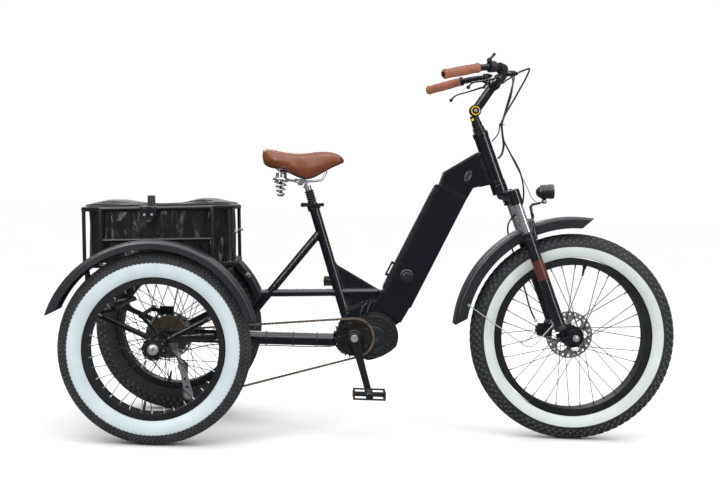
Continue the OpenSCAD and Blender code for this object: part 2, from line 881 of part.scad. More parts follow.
bundle_top = [1094, 0, 1050];
hose_right = [[1116, -164, 1209], [1150, -120, 1226], [1172, -60, 1234], [1166, -20, 1206], [1134, -6, 1140],
    [1104, -4, 1084], bundle_top + [0, -4, 0]];
hose_left = [[1116, 164, 1209], [1140, 110, 1222], [1136, 50, 1210], [1122, 12, 1160], [1104, 6, 1090],
    bundle_top + [0, 4, 0]];
display_wire = [[1098, 10, 1212], [1126, 20, 1212], [1124, 10, 1150], [1100, 3, 1076],
    bundle_top + [-6, 0, 0]];

module bar_cables() {
    color("#17181a") placed() {
        cable(smooth(hose_right, 2), hose_r, [0, 0, 1]);
        cable(smooth(hose_left, 2), hose_r, [0, 0, 1]);
        cable(smooth(display_wire, 2), wire_r);
    }
}

// Lower runs: two go into the head tube's front, one down to the fork, one to the lamp
port_run = [bundle_top + [-6, 0, -1], [1084, 0, 1020], [1064, 0, 992]];
wrapped_run = [bundle_top + [0, 4, -1], [1100, 3, 1010], [1104, 2, 980], [1098, 0, 950], [1086, 0, 936]];
fork_run = [bundle_top + [0, -4, -1], [1102, -6, 1000], [1124, -10, 958], [1160, -12, 896],
    [1176, -10, 830], [1172, 10, 770], [1146, 44, 736], [1138, 68, 696], [1162, 72, 616],
    [1204, 74, 500], [1226, 72, 430], [1248, 62, 386]];
lamp_run = [[1112, -8, 976], [1152, -6, 906], [1186, -8, 846], [1202, -8, 812],
    [1214, -4, 800], [1222, -2, 796]];

module head_cables() {
    color("#17181a") placed() {
        cable(smooth(port_run, 3), wire_r);
        cable(smooth(wrapped_run, 2), 3.5);
        cable(smooth(fork_run, 2), hose_r);
        cable(smooth(lamp_run, 2), 1);
    }
}

rear_run = [[556, -26, 286], [480, -8, 281], [400, -4, 280.4], [280, -4, 279.6], [170, -8, 278.6],
    [120, -24, 272], [84, -56, 264], [64, -68, 262], [46, -69, 261]];

module rear_cables() {
    color("#17181a") placed() {
        cable(rear_run, wire_r, [0, 0, 1]);
        difference() {
            rod([510, -8, 282], [440, -8, 281.4], 6);
            rod([60, 0, 303], [600, 0, 307.3], main_tube_r + 0.2);
            rod([520, -17, 283.5], [480, -8, 281], wire_r + 0.4);
            rod([480, -8, 281], [420, -5, 280.5], wire_r + 0.4);
        }
    }
}

/* ---------- drive ---------- */

module motor_housing() {
    color("#1b1c20") placed() difference() {
        union() {
            intersection() {
                union() {
                    disc(motor_axis, -42, 52, motor_r);
                    disc(motor_axis, -44, 58, motor_r - 8);
                    for (i = [0 : 5])
                        disc(motor_axis, -38 + 14 * i, -32 + 14 * i, motor_r + 2);
                }
                disc([640, 0, 420], -60, 60, 178);
            }
            disc(bb, -40, 46, gearbox_r);
            for (i = [0 : 8])
                translate([bb[0], 0, bb[2]])
                    rotate([0, 118 + 14 * i, 0])
                        translate([0, -34, gearbox_r - 2]) cube([4, 70, 9]);
        }
        disc(bb, -60, 70, spindle_r + fit);
    }
}

// Seen along Y, the straight run of chain that joins two circles
function tangent(a, ra, b, rb, up) =
    let (
        d = [b[0] - a[0], b[2] - a[2]],
        l = norm(d),
        turn = atan2(d[1], d[0]) + up * acos((ra - rb) / l),
        n = [cos(turn), sin(turn)])
        [[a[0], a[2]] + n * ra, [b[0], b[2]] + n * rb];

// Direction, seen along Y, from a circle's middle to a point on it
function way(p, middle) = atan2(p[1] - middle[2], p[0] - middle[0]);

module chain_run(ends) {
    d = ends[1] - ends[0];
    translate(ends[0])
        rotate([0, 0, atan2(d[1], d[0])])
            translate([-0.5, -chain_half]) square([norm(d) + 1, 2 * chain_half]);
}

// Arc of chain around a circle, from one angle to another
module chain_arc(p, r, from, to) {
    reach = 3 * r;
    steps = [for (i = [0 : 7]) from + (to - from) * i / 7];
    translate([p[0], p[2]]) intersection() {
        difference() {
            circle(r = r + chain_half - 0.15, $fn = 96);
            circle(r = r - chain_half + 0.15, $fn = 96);
        }
        polygon(concat([[0, 0]], [for (a = steps) reach * [cos(a), sin(a)]]));
    }
}

module chain() {
    top = tangent(rear_axle, cog_r, bb, ring_r, 1);
    low = tangent(jockey_low, jockey_r, bb, ring_r, -1);
    back = tangent(jockey_low, jockey_r, jockey_up, -jockey_r, 1);
    lift = tangent(jockey_up, jockey_r, rear_axle, -cog_r, -1);
    color("#5a4c3c") placed()
        translate([0, chain_y + chain_w / 2, 0])
            rotate([90, 0, 0])
                linear_extrude(height = chain_w) {
                    chain_run(top);
                    chain_run(low);
                    chain_run(back);
                    chain_run(lift);
                    chain_arc(bb, ring_r, way(low[1], bb), way(top[1], bb));
                    chain_arc(rear_axle, cog_r, way(top[0], rear_axle), 360 + way(lift[1], rear_axle));
                    chain_arc(jockey_low, jockey_r, way(back[0], jockey_low), 360 + way(low[0], jockey_low));
                    chain_arc(jockey_up, jockey_r, way(lift[0], jockey_up), way(back[1], jockey_up));
                }
}

// Toothed disc just inside the chain's own band
module sprocket(p, r, teeth, y0, y1, bore) {
    outer = r - chain_half - 0.8;
    difference() {
        disc(p, y0, y1, outer);
        disc(p, y0 - 1, y1 + 1, bore);
        for (i = [0 : teeth - 1])
            let (a = 360 * i / teeth)
                disc([p[0] + (outer + 1.5) * cos(a), 0, p[2] + (outer + 1.5) * sin(a)], y0 - 1, y1 + 1, 3.4);
    }
}

module chainring() {
    color("#4a4036") placed() difference() {
        sprocket(bb, ring_r, 32, -52, -48, 18);
        for (i = [0 : 4])
            disc([bb[0] + 38 * cos(72 * i), 0, bb[2] + 38 * sin(72 * i)], -60, -40, 11);
    }
}

crank_tilt = 17;
crank_dir = [sin(crank_tilt), 0, -cos(crank_tilt)];
pedal_y = 140;

// Flat tapering arm from the bottom bracket to the pedal
module crank_arm(dir, y0, y1) {
    side = [-dir[2], dir[0]];
    root = [bb[0], bb[2]];
    tip = root + crank_l * [dir[0], dir[2]];
    plate([root + side * 17, tip + side * 12, tip - side * 12, root - side * 17], y0, y1);
    disc([tip[0], 0, tip[1]], y0, y1, 14);
    disc(bb, y0, y1, 20);
}

module crank_right() {
    tip = bb + crank_dir * crank_l;
    color("#1c1d21") placed() difference() {
        crank_arm(crank_dir, -80, -66);
        disc(bb, -90, -60, spindle_r);
        disc(tip, -90, -60, 7);
    }
}

// Left arm with the spindle that carries the ring and the right arm
module crank_left() {
    tip = bb - crank_dir * crank_l;
    color("#1c1d21") placed() difference() {
        union() {
            disc(bb, -78, 82, spindle_r);
            disc(bb, -65.5, -52.2, 17);
            disc(bb, -52.2, -47.8, 17.5);
            crank_arm(-crank_dir, 66, 80);
        }
        disc(tip, 60, 90, 7);
    }
}

// Caged platform pedal that turns on its own axle, drawn with the axle to -Y
module pedal(tip, side) {
    inner = side * 84;
    outer = side * 176;
    mid = (inner + outer) / 2;
    disc(tip, min(side * 67, outer), max(side * 67, outer), 6.9);
    disc(tip, min(inner, outer), max(inner, outer), 12);
    for (x = [-50, 50])
        translate([tip[0] + x - 3, min(inner, outer), tip[2] - 14]) cube([6, 92, 28]);
    for (y = [inner + side * 2, outer - side * 2])
        for (z = [-11, 11])
            translate([tip[0], y, tip[2] + z]) cube([104, 4, 6], center = true);
    translate([tip[0], mid, tip[2]]) cube([100, 8, 10], center = true);
    for (y = [inner + side * 2, outer - side * 2])
        translate([tip[0], y, tip[2]]) cube([24, 4, 26], center = true);
}

module pedal_right() {
    color("#1a1b1d") placed() pedal(bb + crank_dir * crank_l, -1);
}

module pedal_left() {
    color("#1a1b1d") placed() pedal(bb - crank_dir * crank_l, 1);
}

// Differential case on the half shafts, with the brake disc on its flange
module differential() {
    color("#55575c") placed() difference() {
        union() {
            disc(rear_axle, -case_y, case_y, 19);
            disc(rear_axle, -24, 26, 40);
            disc(rear_axle, 26, 41.5, 24);
            rotor(rear_axle, 42, 43.8, 18);
        }
        disc(rear_axle, -90, 90, axle_r + fit);
    }
}

cog_teeth = [34, 28, 23, 19, 16, 14, 12];

module cassette() {
    color("#8a7350") placed() difference() {
        union() {
            for (i = [0 : 5])
                let (teeth = cog_teeth[i], r = teeth * 2.02)
                    disc(rear_axle, -28.5 - 3.4 * i, -26.5 - 3.4 * i, r);
            disc(rear_axle, -54, -25, 20.6);
            disc(rear_axle, -58, -56, 20);
            disc(rear_axle, -56, -50, 20.6);
        }
        disc(rear_axle, -80, -20, 19.05);
    }
}

module derailleur_body() {
    color("#6d7075") placed() difference() {
        union() {
            rod([34, -67, 256], [52, -67, 215], 6);
            rod([42, -66, 254], [60, -66, 213], 4);
            disc(jockey_up, -73, -60, 10);
            plate([[14, 304], [40, 300], [44, 250], [30, 244], [12, 286]], -65.8, -62.4);
            disc([34, 0, 256], -75, -60, 10);
        }
        disc(jockey_up, -80, -50, 4 + fit);
    }
}

module derailleur_cage() {
    color("#b9bdc2") placed() union() {
        for (y = [-59, -43.8])
            difference() {
                union() {
                    plate([[44, 208], [64, 212], [96, 110], [84, 96], [66, 104], [68, 116]], y, y + 2.2);
                    disc(jockey_low, y, y + 2.2, 14);
                    disc(jockey_up, y, y + 2.2, 13);
                }
                disc([68, 0, 165], y - 1, y + 4, 5);
                disc([74, 0, 138], y - 1, y + 4, 5);
            }
        disc(jockey_up, -72, -43, 4);
        disc(jockey_low, -59, -43, 4);
        for (p = [jockey_up, jockey_low])
            disc(p, chain_y - jockey_w / 2, chain_y + jockey_w / 2, jockey_r - chain_half - 0.6);
    }
}

/* ---------- saddle ---------- */

module saddle_cover() {
    color("#a9683f") placed() hull() {
        for (side = [-1, 1]) {
            translate([322, side * 78, 915]) sphere(r = 24, $fn = 32);
            translate([372, side * 84, 900]) sphere(r = 24, $fn = 32);
            translate([452, side * 40, 872]) sphere(r = 24, $fn = 32);
        }
        translate([546, 0, 920]) sphere(r = 22, $fn = 32);
        translate([470, 0, 916]) sphere(r = 26, $fn = 32);
    }
}

module saddle_frame() {
    color("#c9ccd0") placed() union() {
        for (side = [-1, 1]) {
            bent_rod([[512, side * 14, 870], [500, side * 20, 846], [408, side * 22, 836],
                [364, side * 50, 842]], 3.5);
            translate([361, side * 55, 0]) {
                translate([0, 0, 856]) cylinder(h = 12, r1 = 14, r2 = 9);
                translate([0, 0, 836]) cylinder(h = 8, r = 27);
                translate([0, 0, 844]) cylinder(h = 12, r = 17);
                translate([0, 0, 782]) cylinder(h = 54, r1 = 6, r2 = 22);
            }
        }
        translate([404, -30, 829]) cube([44, 60, 14]);
        disc([426, 0, 832], -32, 32, 8);
    }
}

module seatpost_upper() {
    color("#9b9ea3") placed() difference() {
        union() {
            rod(along(seat_top, seat_down, -64), along(seat_top, seat_down, 120), upper_post_r);
            rod(along(seat_top, seat_down, -66), [440, 0, 826], 14);
        }
        translate([404, -32, 828.6]) cube([46, 64, 20]);
        disc([426, 0, 832], -40, 40, 8.2);
    }
}

module seatpost_boot() {
    color("#1b1c1e") placed() difference() {
        union() {
            rod(along(seat_top, seat_down, -48), along(seat_top, seat_down, -6.4), 13);
            for (i = [0 : 4])
                rod(along(seat_top, seat_down, -46 + 8 * i), along(seat_top, seat_down, -41.5 + 8 * i), 16);
        }
        rod(along(seat_top, seat_down, -60), along(seat_top, seat_down, 10), upper_post_r + 0.3);
    }
}

module seatpost_lower() {
    color("#2a2b2e") placed() difference() {
        rod(along(seat_top, seat_down, -6), along(seat_top, seat_down, 200), post_r);
        rod(along(seat_top, seat_down, -10), along(seat_top, seat_down, 170), upper_post_r + fit);
    }
}

clamp_mid = along(seat_top, seat_down, 12);
clamp_bolt = [437, 0, 756];
lever_end = [502, 0, 759];

module seat_clamp() {
    color("#2a2c31") placed() difference() {
        union() {
            rod(along(clamp_mid, seat_down, -9), along(clamp_mid, seat_down, 9), 21.5);
            translate([430, -14, 750]) cube([30, 28, 13]);
        }
        rod(along(clamp_mid, seat_down, -20), along(clamp_mid, seat_down, 20), seat_tube_r + 0.05);
        translate([420, -1.5, 745]) cube([40, 3, 25]);
        disc(clamp_bolt, -20, 20, 3 + fit);
    }
}

module seat_lever() {
    blade = [[440, 751], [468, 754], [501, 753.5], [501, 764.5], [468, 761], [440, 761]];
    color("#33353a") placed() union() {
        disc(clamp_bolt, -26, 17, 3);
        disc(clamp_bolt, 14.5, 19, 7.5);
        disc(clamp_bolt, -33, -14.5, 7.5);
        plate(blade, -31, -24);
        disc(lever_end, -32.5, -22.5, 6.2);
    }
}

/* ---------- battery ---------- */

module battery_pack() {
    color("#2b2d33") placed()
        beam_box(11, beam_l - 13, -cover_t - pack_d, -cover_t - 0.5, pack_w);
}

module battery_cover() {
    color("#3c3f45") placed() union() {
        beam_box(6, beam_l - 3, -cover_t + gap, -3, beam_w);
        beam_box(10, beam_l - 7, -3, 0, beam_w - 10);
        beam_box(52, 60, -1, 12, 22);
        beam_box(96, 104, -1, 12, 22);
        beam_box(52, 104, 8, 13, 22);
    }
}

module battery_lock() {
    p = beam(lock_s, lock_n);
    color("#4a4d52") placed() difference() {
        union() {
            disc(p, -beam_w / 2 - 3, -beam_w / 2 - gap, 18);
            disc(p, -beam_w / 2 - 2, -pack_w / 2 - 1.5, 8);
        }
        translate([p[0] - 1, -beam_w / 2 - 4, p[2] - 5]) cube([2, 4, 10]);
    }
}

main_frame();
rear_subframe();
motor_housing();
rear_fender_right();
rear_fender_left();
rear_caliper();
basket_frame();
basket_liner();
chain();
derailleur_body();
seat_clamp();
rear_cables();
fork_crown();
fork_stanchions();
stem_base();
head_cables();
stem_arm();
handlebar();
grips();
controls();
bar_cables();
brake_lever_right();
brake_lever_left();
throttle_lever();
fork_lowers();
front_fender();
front_caliper();
light_bracket();
headlight();
front_tyre();
front_rim();
front_spokes();
front_hub();
front_rotor();
rear_tyre_right();
rear_rim_right();
rear_spokes_right();
rear_hub_right();
rear_tyre_left();
rear_rim_left();
rear_spokes_left();
rear_hub_left();
differential();
cassette();
crank_right();
crank_left();
chainring();
pedal_right();
pedal_left();
derailleur_cage();
saddle_cover();
saddle_frame();
seatpost_upper();
seatpost_boot();
seatpost_lower();
seat_lever();
battery_pack();
battery_cover();
battery_lock();
basket_cover();
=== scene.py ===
"""Looks of an adult cargo tricycle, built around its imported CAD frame. Metres, +X forwards, +Z up."""

import json
import math
import random

import bpy
import numpy as np
from mathutils import Matrix, Vector


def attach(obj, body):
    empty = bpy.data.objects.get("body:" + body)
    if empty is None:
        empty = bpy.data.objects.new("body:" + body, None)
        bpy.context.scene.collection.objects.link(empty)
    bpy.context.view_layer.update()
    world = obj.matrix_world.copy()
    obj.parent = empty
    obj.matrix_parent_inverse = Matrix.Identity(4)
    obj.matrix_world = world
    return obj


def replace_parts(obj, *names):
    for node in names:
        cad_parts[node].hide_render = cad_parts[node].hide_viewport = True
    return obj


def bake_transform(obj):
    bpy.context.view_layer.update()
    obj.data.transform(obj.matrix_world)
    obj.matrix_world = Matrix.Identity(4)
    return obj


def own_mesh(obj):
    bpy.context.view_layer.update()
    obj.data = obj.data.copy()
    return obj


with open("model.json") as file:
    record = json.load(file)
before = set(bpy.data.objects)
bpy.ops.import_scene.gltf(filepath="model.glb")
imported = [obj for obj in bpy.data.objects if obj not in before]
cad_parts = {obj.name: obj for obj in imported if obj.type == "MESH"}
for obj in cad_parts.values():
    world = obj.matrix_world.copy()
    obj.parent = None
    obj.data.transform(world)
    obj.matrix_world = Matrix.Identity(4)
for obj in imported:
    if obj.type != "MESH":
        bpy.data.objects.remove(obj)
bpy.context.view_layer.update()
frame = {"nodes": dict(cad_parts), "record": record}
rng = random.Random(7)
TAU = 2 * math.pi

# The CAD is written from the rear axle, MID_X behind the object's own origin
MID_X = 685.9


def at(x, y, z):
    """A point given in millimetres from the rear axle, in the frame's metres."""
    return np.array([(x - MID_X) / 1000, y / 1000, z / 1000])


def route(points):
    return [at(*p) for p in points]


def unit(v):
    v = np.asarray(v, float)
    return v / np.linalg.norm(v)


def spoke(angle):
    """Direction in the plane of the wheels, turned from +X towards +Z."""
    return np.array([math.cos(angle), 0, math.sin(angle)])


# Foot of the head tube, its axis and the direction square to it, and the centres of the wheels
HEAD = at(1090, 0, 848)
HEAD_ANGLE = math.radians(68.4)
HEAD_UP = np.array([-math.cos(HEAD_ANGLE), 0, math.sin(HEAD_ANGLE)])
HEAD_AHEAD = np.array([math.sin(HEAD_ANGLE), 0, math.cos(HEAD_ANGLE)])
FRONT_HUB = at(1360, 0, 346.5)
REAR_HUBS = {"right": at(0, -380, 299), "left": at(0, 380, 299)}
# How far round its section a tyre's skin runs before the bead, as the cosine from straight inwards
BEAD_COS = 0.66


# ---------- materials ----------

def new_material(name):
    m = bpy.data.materials.new(name)
    m.use_nodes = True
    nt = m.node_tree
    nt.nodes.clear()
    out = nt.nodes.new("ShaderNodeOutputMaterial")
    bsdf = nt.nodes.new("ShaderNodeBsdfPrincipled")
    nt.links.new(bsdf.outputs[0], out.inputs[0])
    return m, nt, bsdf


def coords(nt, stretch=(1, 1, 1)):
    tc = nt.nodes.new("ShaderNodeTexCoord")
    mp = nt.nodes.new("ShaderNodeMapping")
    mp.inputs["Scale"].default_value = stretch
    nt.links.new(tc.outputs["Object"], mp.inputs[0])
    return mp.outputs[0]


def noise(nt, scale, detail=4.0, rough=0.55, stretch=(1, 1, 1), distortion=0.0):
    n = nt.nodes.new("ShaderNodeTexNoise")
    n.inputs["Scale"].default_value = scale
    n.inputs["Detail"].default_value = detail
    n.inputs["Roughness"].default_value = rough
    n.inputs["Distortion"].default_value = distortion
    nt.links.new(coords(nt, stretch), n.inputs["Vector"])
    return n.outputs["Fac"]


def cells(nt, scale, feature="F1", stretch=(1, 1, 1)):
    n = nt.nodes.new("ShaderNodeTexVoronoi")
    n.feature = feature
    n.inputs["Scale"].default_value = scale
    nt.links.new(coords(nt, stretch), n.inputs["Vector"])
    return n.outputs["Distance"]


def bands(nt, scale, axis="X", distortion=0.0):
    n = nt.nodes.new("ShaderNodeTexWave")
    n.bands_direction = axis
    n.inputs["Scale"].default_value = scale
    n.inputs["Distortion"].default_value = distortion
    nt.links.new(coords(nt), n.inputs["Vector"])
    return n.outputs["Fac"]


def rescale(nt, value, low, high, from_low=0.3, from_high=0.7):
    n = nt.nodes.new("ShaderNodeMapRange")
    n.inputs["From Min"].default_value = from_low
    n.inputs["From Max"].default_value = from_high
    n.inputs["To Min"].default_value = low
    n.inputs["To Max"].default_value = high
    nt.links.new(value, n.inputs["Value"])
    return n.outputs["Result"]


def mix_colour(nt, factor, a, b):
    n = nt.nodes.new("ShaderNodeMix")
    n.data_type = "RGBA"
    nt.links.new(factor, n.inputs["Factor"])
    for socket, value in ((n.inputs[6], a), (n.inputs[7], b)):
        if isinstance(value, (tuple, list)):
            socket.default_value = (*value[:3], 1)
        else:
            nt.links.new(value, socket)
    return n.outputs[2]


def combine(nt, op, a, b):
    n = nt.nodes.new("ShaderNodeMath")
    n.operation = op
    for i, v in enumerate((a, b)):
        if isinstance(v, (int, float)):
            n.inputs[i].default_value = v
        else:
            nt.links.new(v, n.inputs[i])
    return n.outputs[0]


def bump(nt, bsdf, heights, round_edges=0.0):
    """Stacks bumps, given as (height, distance in metres, strength), over edges rounded by a small radius."""
    normal = None
    if round_edges:
        bevel = nt.nodes.new("ShaderNodeBevel")
        bevel.samples = 3
        bevel.inputs["Radius"].default_value = round_edges
        normal = bevel.outputs[0]
    for height, distance, strength in heights:
        b = nt.nodes.new("ShaderNodeBump")
        b.inputs["Distance"].default_value = distance
        b.inputs["Strength"].default_value = strength
        nt.links.new(height, b.inputs["Height"])
        if normal is not None:
            nt.links.new(normal, b.inputs["Normal"])
        normal = b.outputs[0]
    if normal is not None:
        nt.links.new(normal, bsdf.inputs["Normal"])


def surface(name, dark, light, rough, metal=0.0, coat=0.0, coat_rough=0.06, grain=(180, 0.0002, 0.3),
            patch=9.0, edge=0.0006, dust=0.0, specular=0.5, stretch=(1, 1, 1), sheen=0.0):
    """Painted, cast or moulded surface: two tones in soft patches, varying gloss, fine grain, dust on top."""
    m, nt, s = new_material(name)
    s.inputs["Metallic"].default_value = metal
    s.inputs["Coat Weight"].default_value = coat
    s.inputs["Coat Roughness"].default_value = coat_rough
    s.inputs["Specular IOR Level"].default_value = specular
    s.inputs["Sheen Weight"].default_value = sheen
    tone = mix_colour(nt, rescale(nt, noise(nt, patch, 6, 0.6), 0, 1), dark, light)
    rough_here = rescale(nt, noise(nt, patch * 2.7, 5, 0.65), rough[0], rough[1])
    if dust:
        geo = nt.nodes.new("ShaderNodeNewGeometry")
        split = nt.nodes.new("ShaderNodeSeparateXYZ")
        nt.links.new(geo.outputs["Normal"], split.inputs[0])
        top = rescale(nt, split.outputs["Z"], 0, 1, 0.45, 1.0)
        speck = rescale(nt, noise(nt, 60, 8, 0.7), 0, dust, 0.42, 0.7)
        amount = combine(nt, "MULTIPLY", top, speck)
        tone = mix_colour(nt, amount, tone, (0.42, 0.4, 0.37))
        rough_here = combine(nt, "ADD", rough_here, combine(nt, "MULTIPLY", amount, 0.5))
    nt.links.new(tone, s.inputs["Base Color"])
    nt.links.new(rough_here, s.inputs["Roughness"])
    bump(nt, s, [(noise(nt, grain[0], 3, 0.5, stretch), grain[1], grain[2])], edge)
    return m


def make_tyre_rubber(name, dark, light):
    """Dull rubber, scuffed paler in small spots."""
    m, nt, s = new_material(name)
    fine = noise(nt, 420, 4, 0.6)
    tone = mix_colour(nt, rescale(nt, noise(nt, 14, 6, 0.7), 0, 1), dark, light)
    tone = mix_colour(nt, rescale(nt, noise(nt, 55, 8, 0.75), 0, 0.12, 0.5, 0.75), tone, (0.12, 0.115, 0.105))
    nt.links.new(tone, s.inputs["Base Color"])
    nt.links.new(rescale(nt, fine, 0.62, 0.85), s.inputs["Roughness"])
    bump(nt, s, [(fine, 0.0003, 0.4), (noise(nt, 90, 4), 0.0004, 0.25)])
    return m


def make_sidewall(name, colour, shade):
    """Pale rubber band, soiled in soft patches and fine specks."""
    m, nt, s = new_material(name)
    tone = mix_colour(nt, rescale(nt, noise(nt, 7, 7, 0.65), 0, 1), colour, shade)
    tone = mix_colour(nt, rescale(nt, noise(nt, 75, 8, 0.7), 0, 0.3, 0.55, 0.8), tone, (0.36, 0.34, 0.31))
    nt.links.new(tone, s.inputs["Base Color"])
    nt.links.new(rescale(nt, noise(nt, 40), 0.38, 0.55), s.inputs["Roughness"])
    bump(nt, s, [(noise(nt, 600, 3), 0.0001, 0.4)])
    return m


def make_leather(name, dark, light, rough=(0.34, 0.5)):
    """Tanned leather: pores and a net of creases with painted shade darkening their grooves, worn paler in places."""
    m, nt, s = new_material(name)
    pores = cells(nt, 620)
    wrinkles_and_crease_shade = cells(nt, 190, "DISTANCE_TO_EDGE", (1, 1.3, 1))
    tone = mix_colour(nt, rescale(nt, noise(nt, 18, 7, 0.65), 0, 1), dark, light)
    # Painted shade: the crease grooves are darkened towards a deeper brown, as if shade lay in them.
    tone = mix_colour(nt, rescale(nt, wrinkles_and_crease_shade, 0.35, 0, 0, 0.1), tone, tuple(c * 0.55 for c in dark))
    tone = mix_colour(nt, rescale(nt, noise(nt, 45, 9, 0.75, distortion=0.6), 0, 0.25, 0.52, 0.75), tone,
                      tuple(min(1, c * 1.35) for c in light))
    nt.links.new(tone, s.inputs["Base Color"])
    nt.links.new(rescale(nt, noise(nt, 30, 6), *rough), s.inputs["Roughness"])
    s.inputs["Coat Weight"].default_value = 0.15
    s.inputs["Coat Roughness"].default_value = 0.3
    bump(nt, s, [(rescale(nt, wrinkles_and_crease_shade, 0, 1, 0, 0.08), 0.0002, 0.45), (pores, 0.00015, 0.35),
                 (noise(nt, 26, 5), 0.0008, 0.35)])
    return m


def make_tarpaulin(name, rough, coat, creases, specular=0.5):
    """Coated black fabric: a fine weave under a glossy skin, with broad soft creases."""
    m, nt, s = new_material(name)
    weave = combine(nt, "MULTIPLY", combine(nt, "ADD", bands(nt, 260, "X"), bands(nt, 260, "Y")), bands(nt, 260, "Z"))
    tone = mix_colour(nt, rescale(nt, noise(nt, 12, 6), 0, 1), (0.004, 0.004, 0.005), (0.012, 0.013, 0.015))
    nt.links.new(tone, s.inputs["Base Color"])
    nt.links.new(rescale(nt, noise(nt, 24, 6), *rough), s.inputs["Roughness"])
    s.inputs["Specular IOR Level"].default_value = specular
    s.inputs["Coat Weight"].default_value = coat
    s.inputs["Coat Roughness"].default_value = 0.12
    bump(nt, s, [(weave, 0.0001, 0.15), (noise(nt, 9, 2, 0.5, (1, 1, 0.5), 1.6), 0.03, creases),
                 (noise(nt, 30, 2, 0.5, (1, 1, 0.6), 1.0), 0.005, creases * 0.8)])
    return m


def make_webbing(name, dark, light):
    """Woven strap or thread."""
    m, nt, s = new_material(name)
    weave = combine(nt, "MULTIPLY", bands(nt, 190, "Z", 1.0), bands(nt, 150, "X", 1.0))
    nt.links.new(mix_colour(nt, weave, dark, light), s.inputs["Base Color"])
    nt.links.new(rescale(nt, noise(nt, 200), 0.7, 0.9), s.inputs["Roughness"])
    s.inputs["Sheen Weight"].default_value = 0.3
    bump(nt, s, [(weave, 0.0004, 0.6)])
    return m


def make_brushed(name, dark, light, rough, across=(1, 1, 1), grime=0.25, metal=0.7):
    """Bare metal with a fine grain and dark grime in patches."""
    m, nt, s = new_material(name)
    s.inputs["Metallic"].default_value = metal
    tone = mix_colour(nt, rescale(nt, noise(nt, 20, 6, 0.7), 0, 1), dark, light)
    tone = mix_colour(nt, rescale(nt, noise(nt, 48, 8, 0.75), 0, grime, 0.5, 0.72), tone, (0.03, 0.026, 0.022))
    nt.links.new(tone, s.inputs["Base Color"])
    nt.links.new(rescale(nt, noise(nt, 160, 4, 0.6, across), *rough), s.inputs["Roughness"])
    bump(nt, s, [(noise(nt, 300, 3, 0.5, across), 0.0001, 0.3)], 0.0004)
    return m


def make_lens():
    """Clear ribbed plastic."""
    m, nt, s = new_material("lamp_lens")
    s.inputs["Transmission Weight"].default_value = 0.85
    s.inputs["IOR"].default_value = 1.49
    nt.links.new(mix_colour(nt, noise(nt, 40), (0.86, 0.9, 0.94), (0.95, 0.97, 1.0)), s.inputs["Base Color"])
    nt.links.new(rescale(nt, noise(nt, 80), 0.03, 0.08), s.inputs["Roughness"])
    bump(nt, s, [(bands(nt, 90, "Y"), 0.0006, 0.5)])
    return m


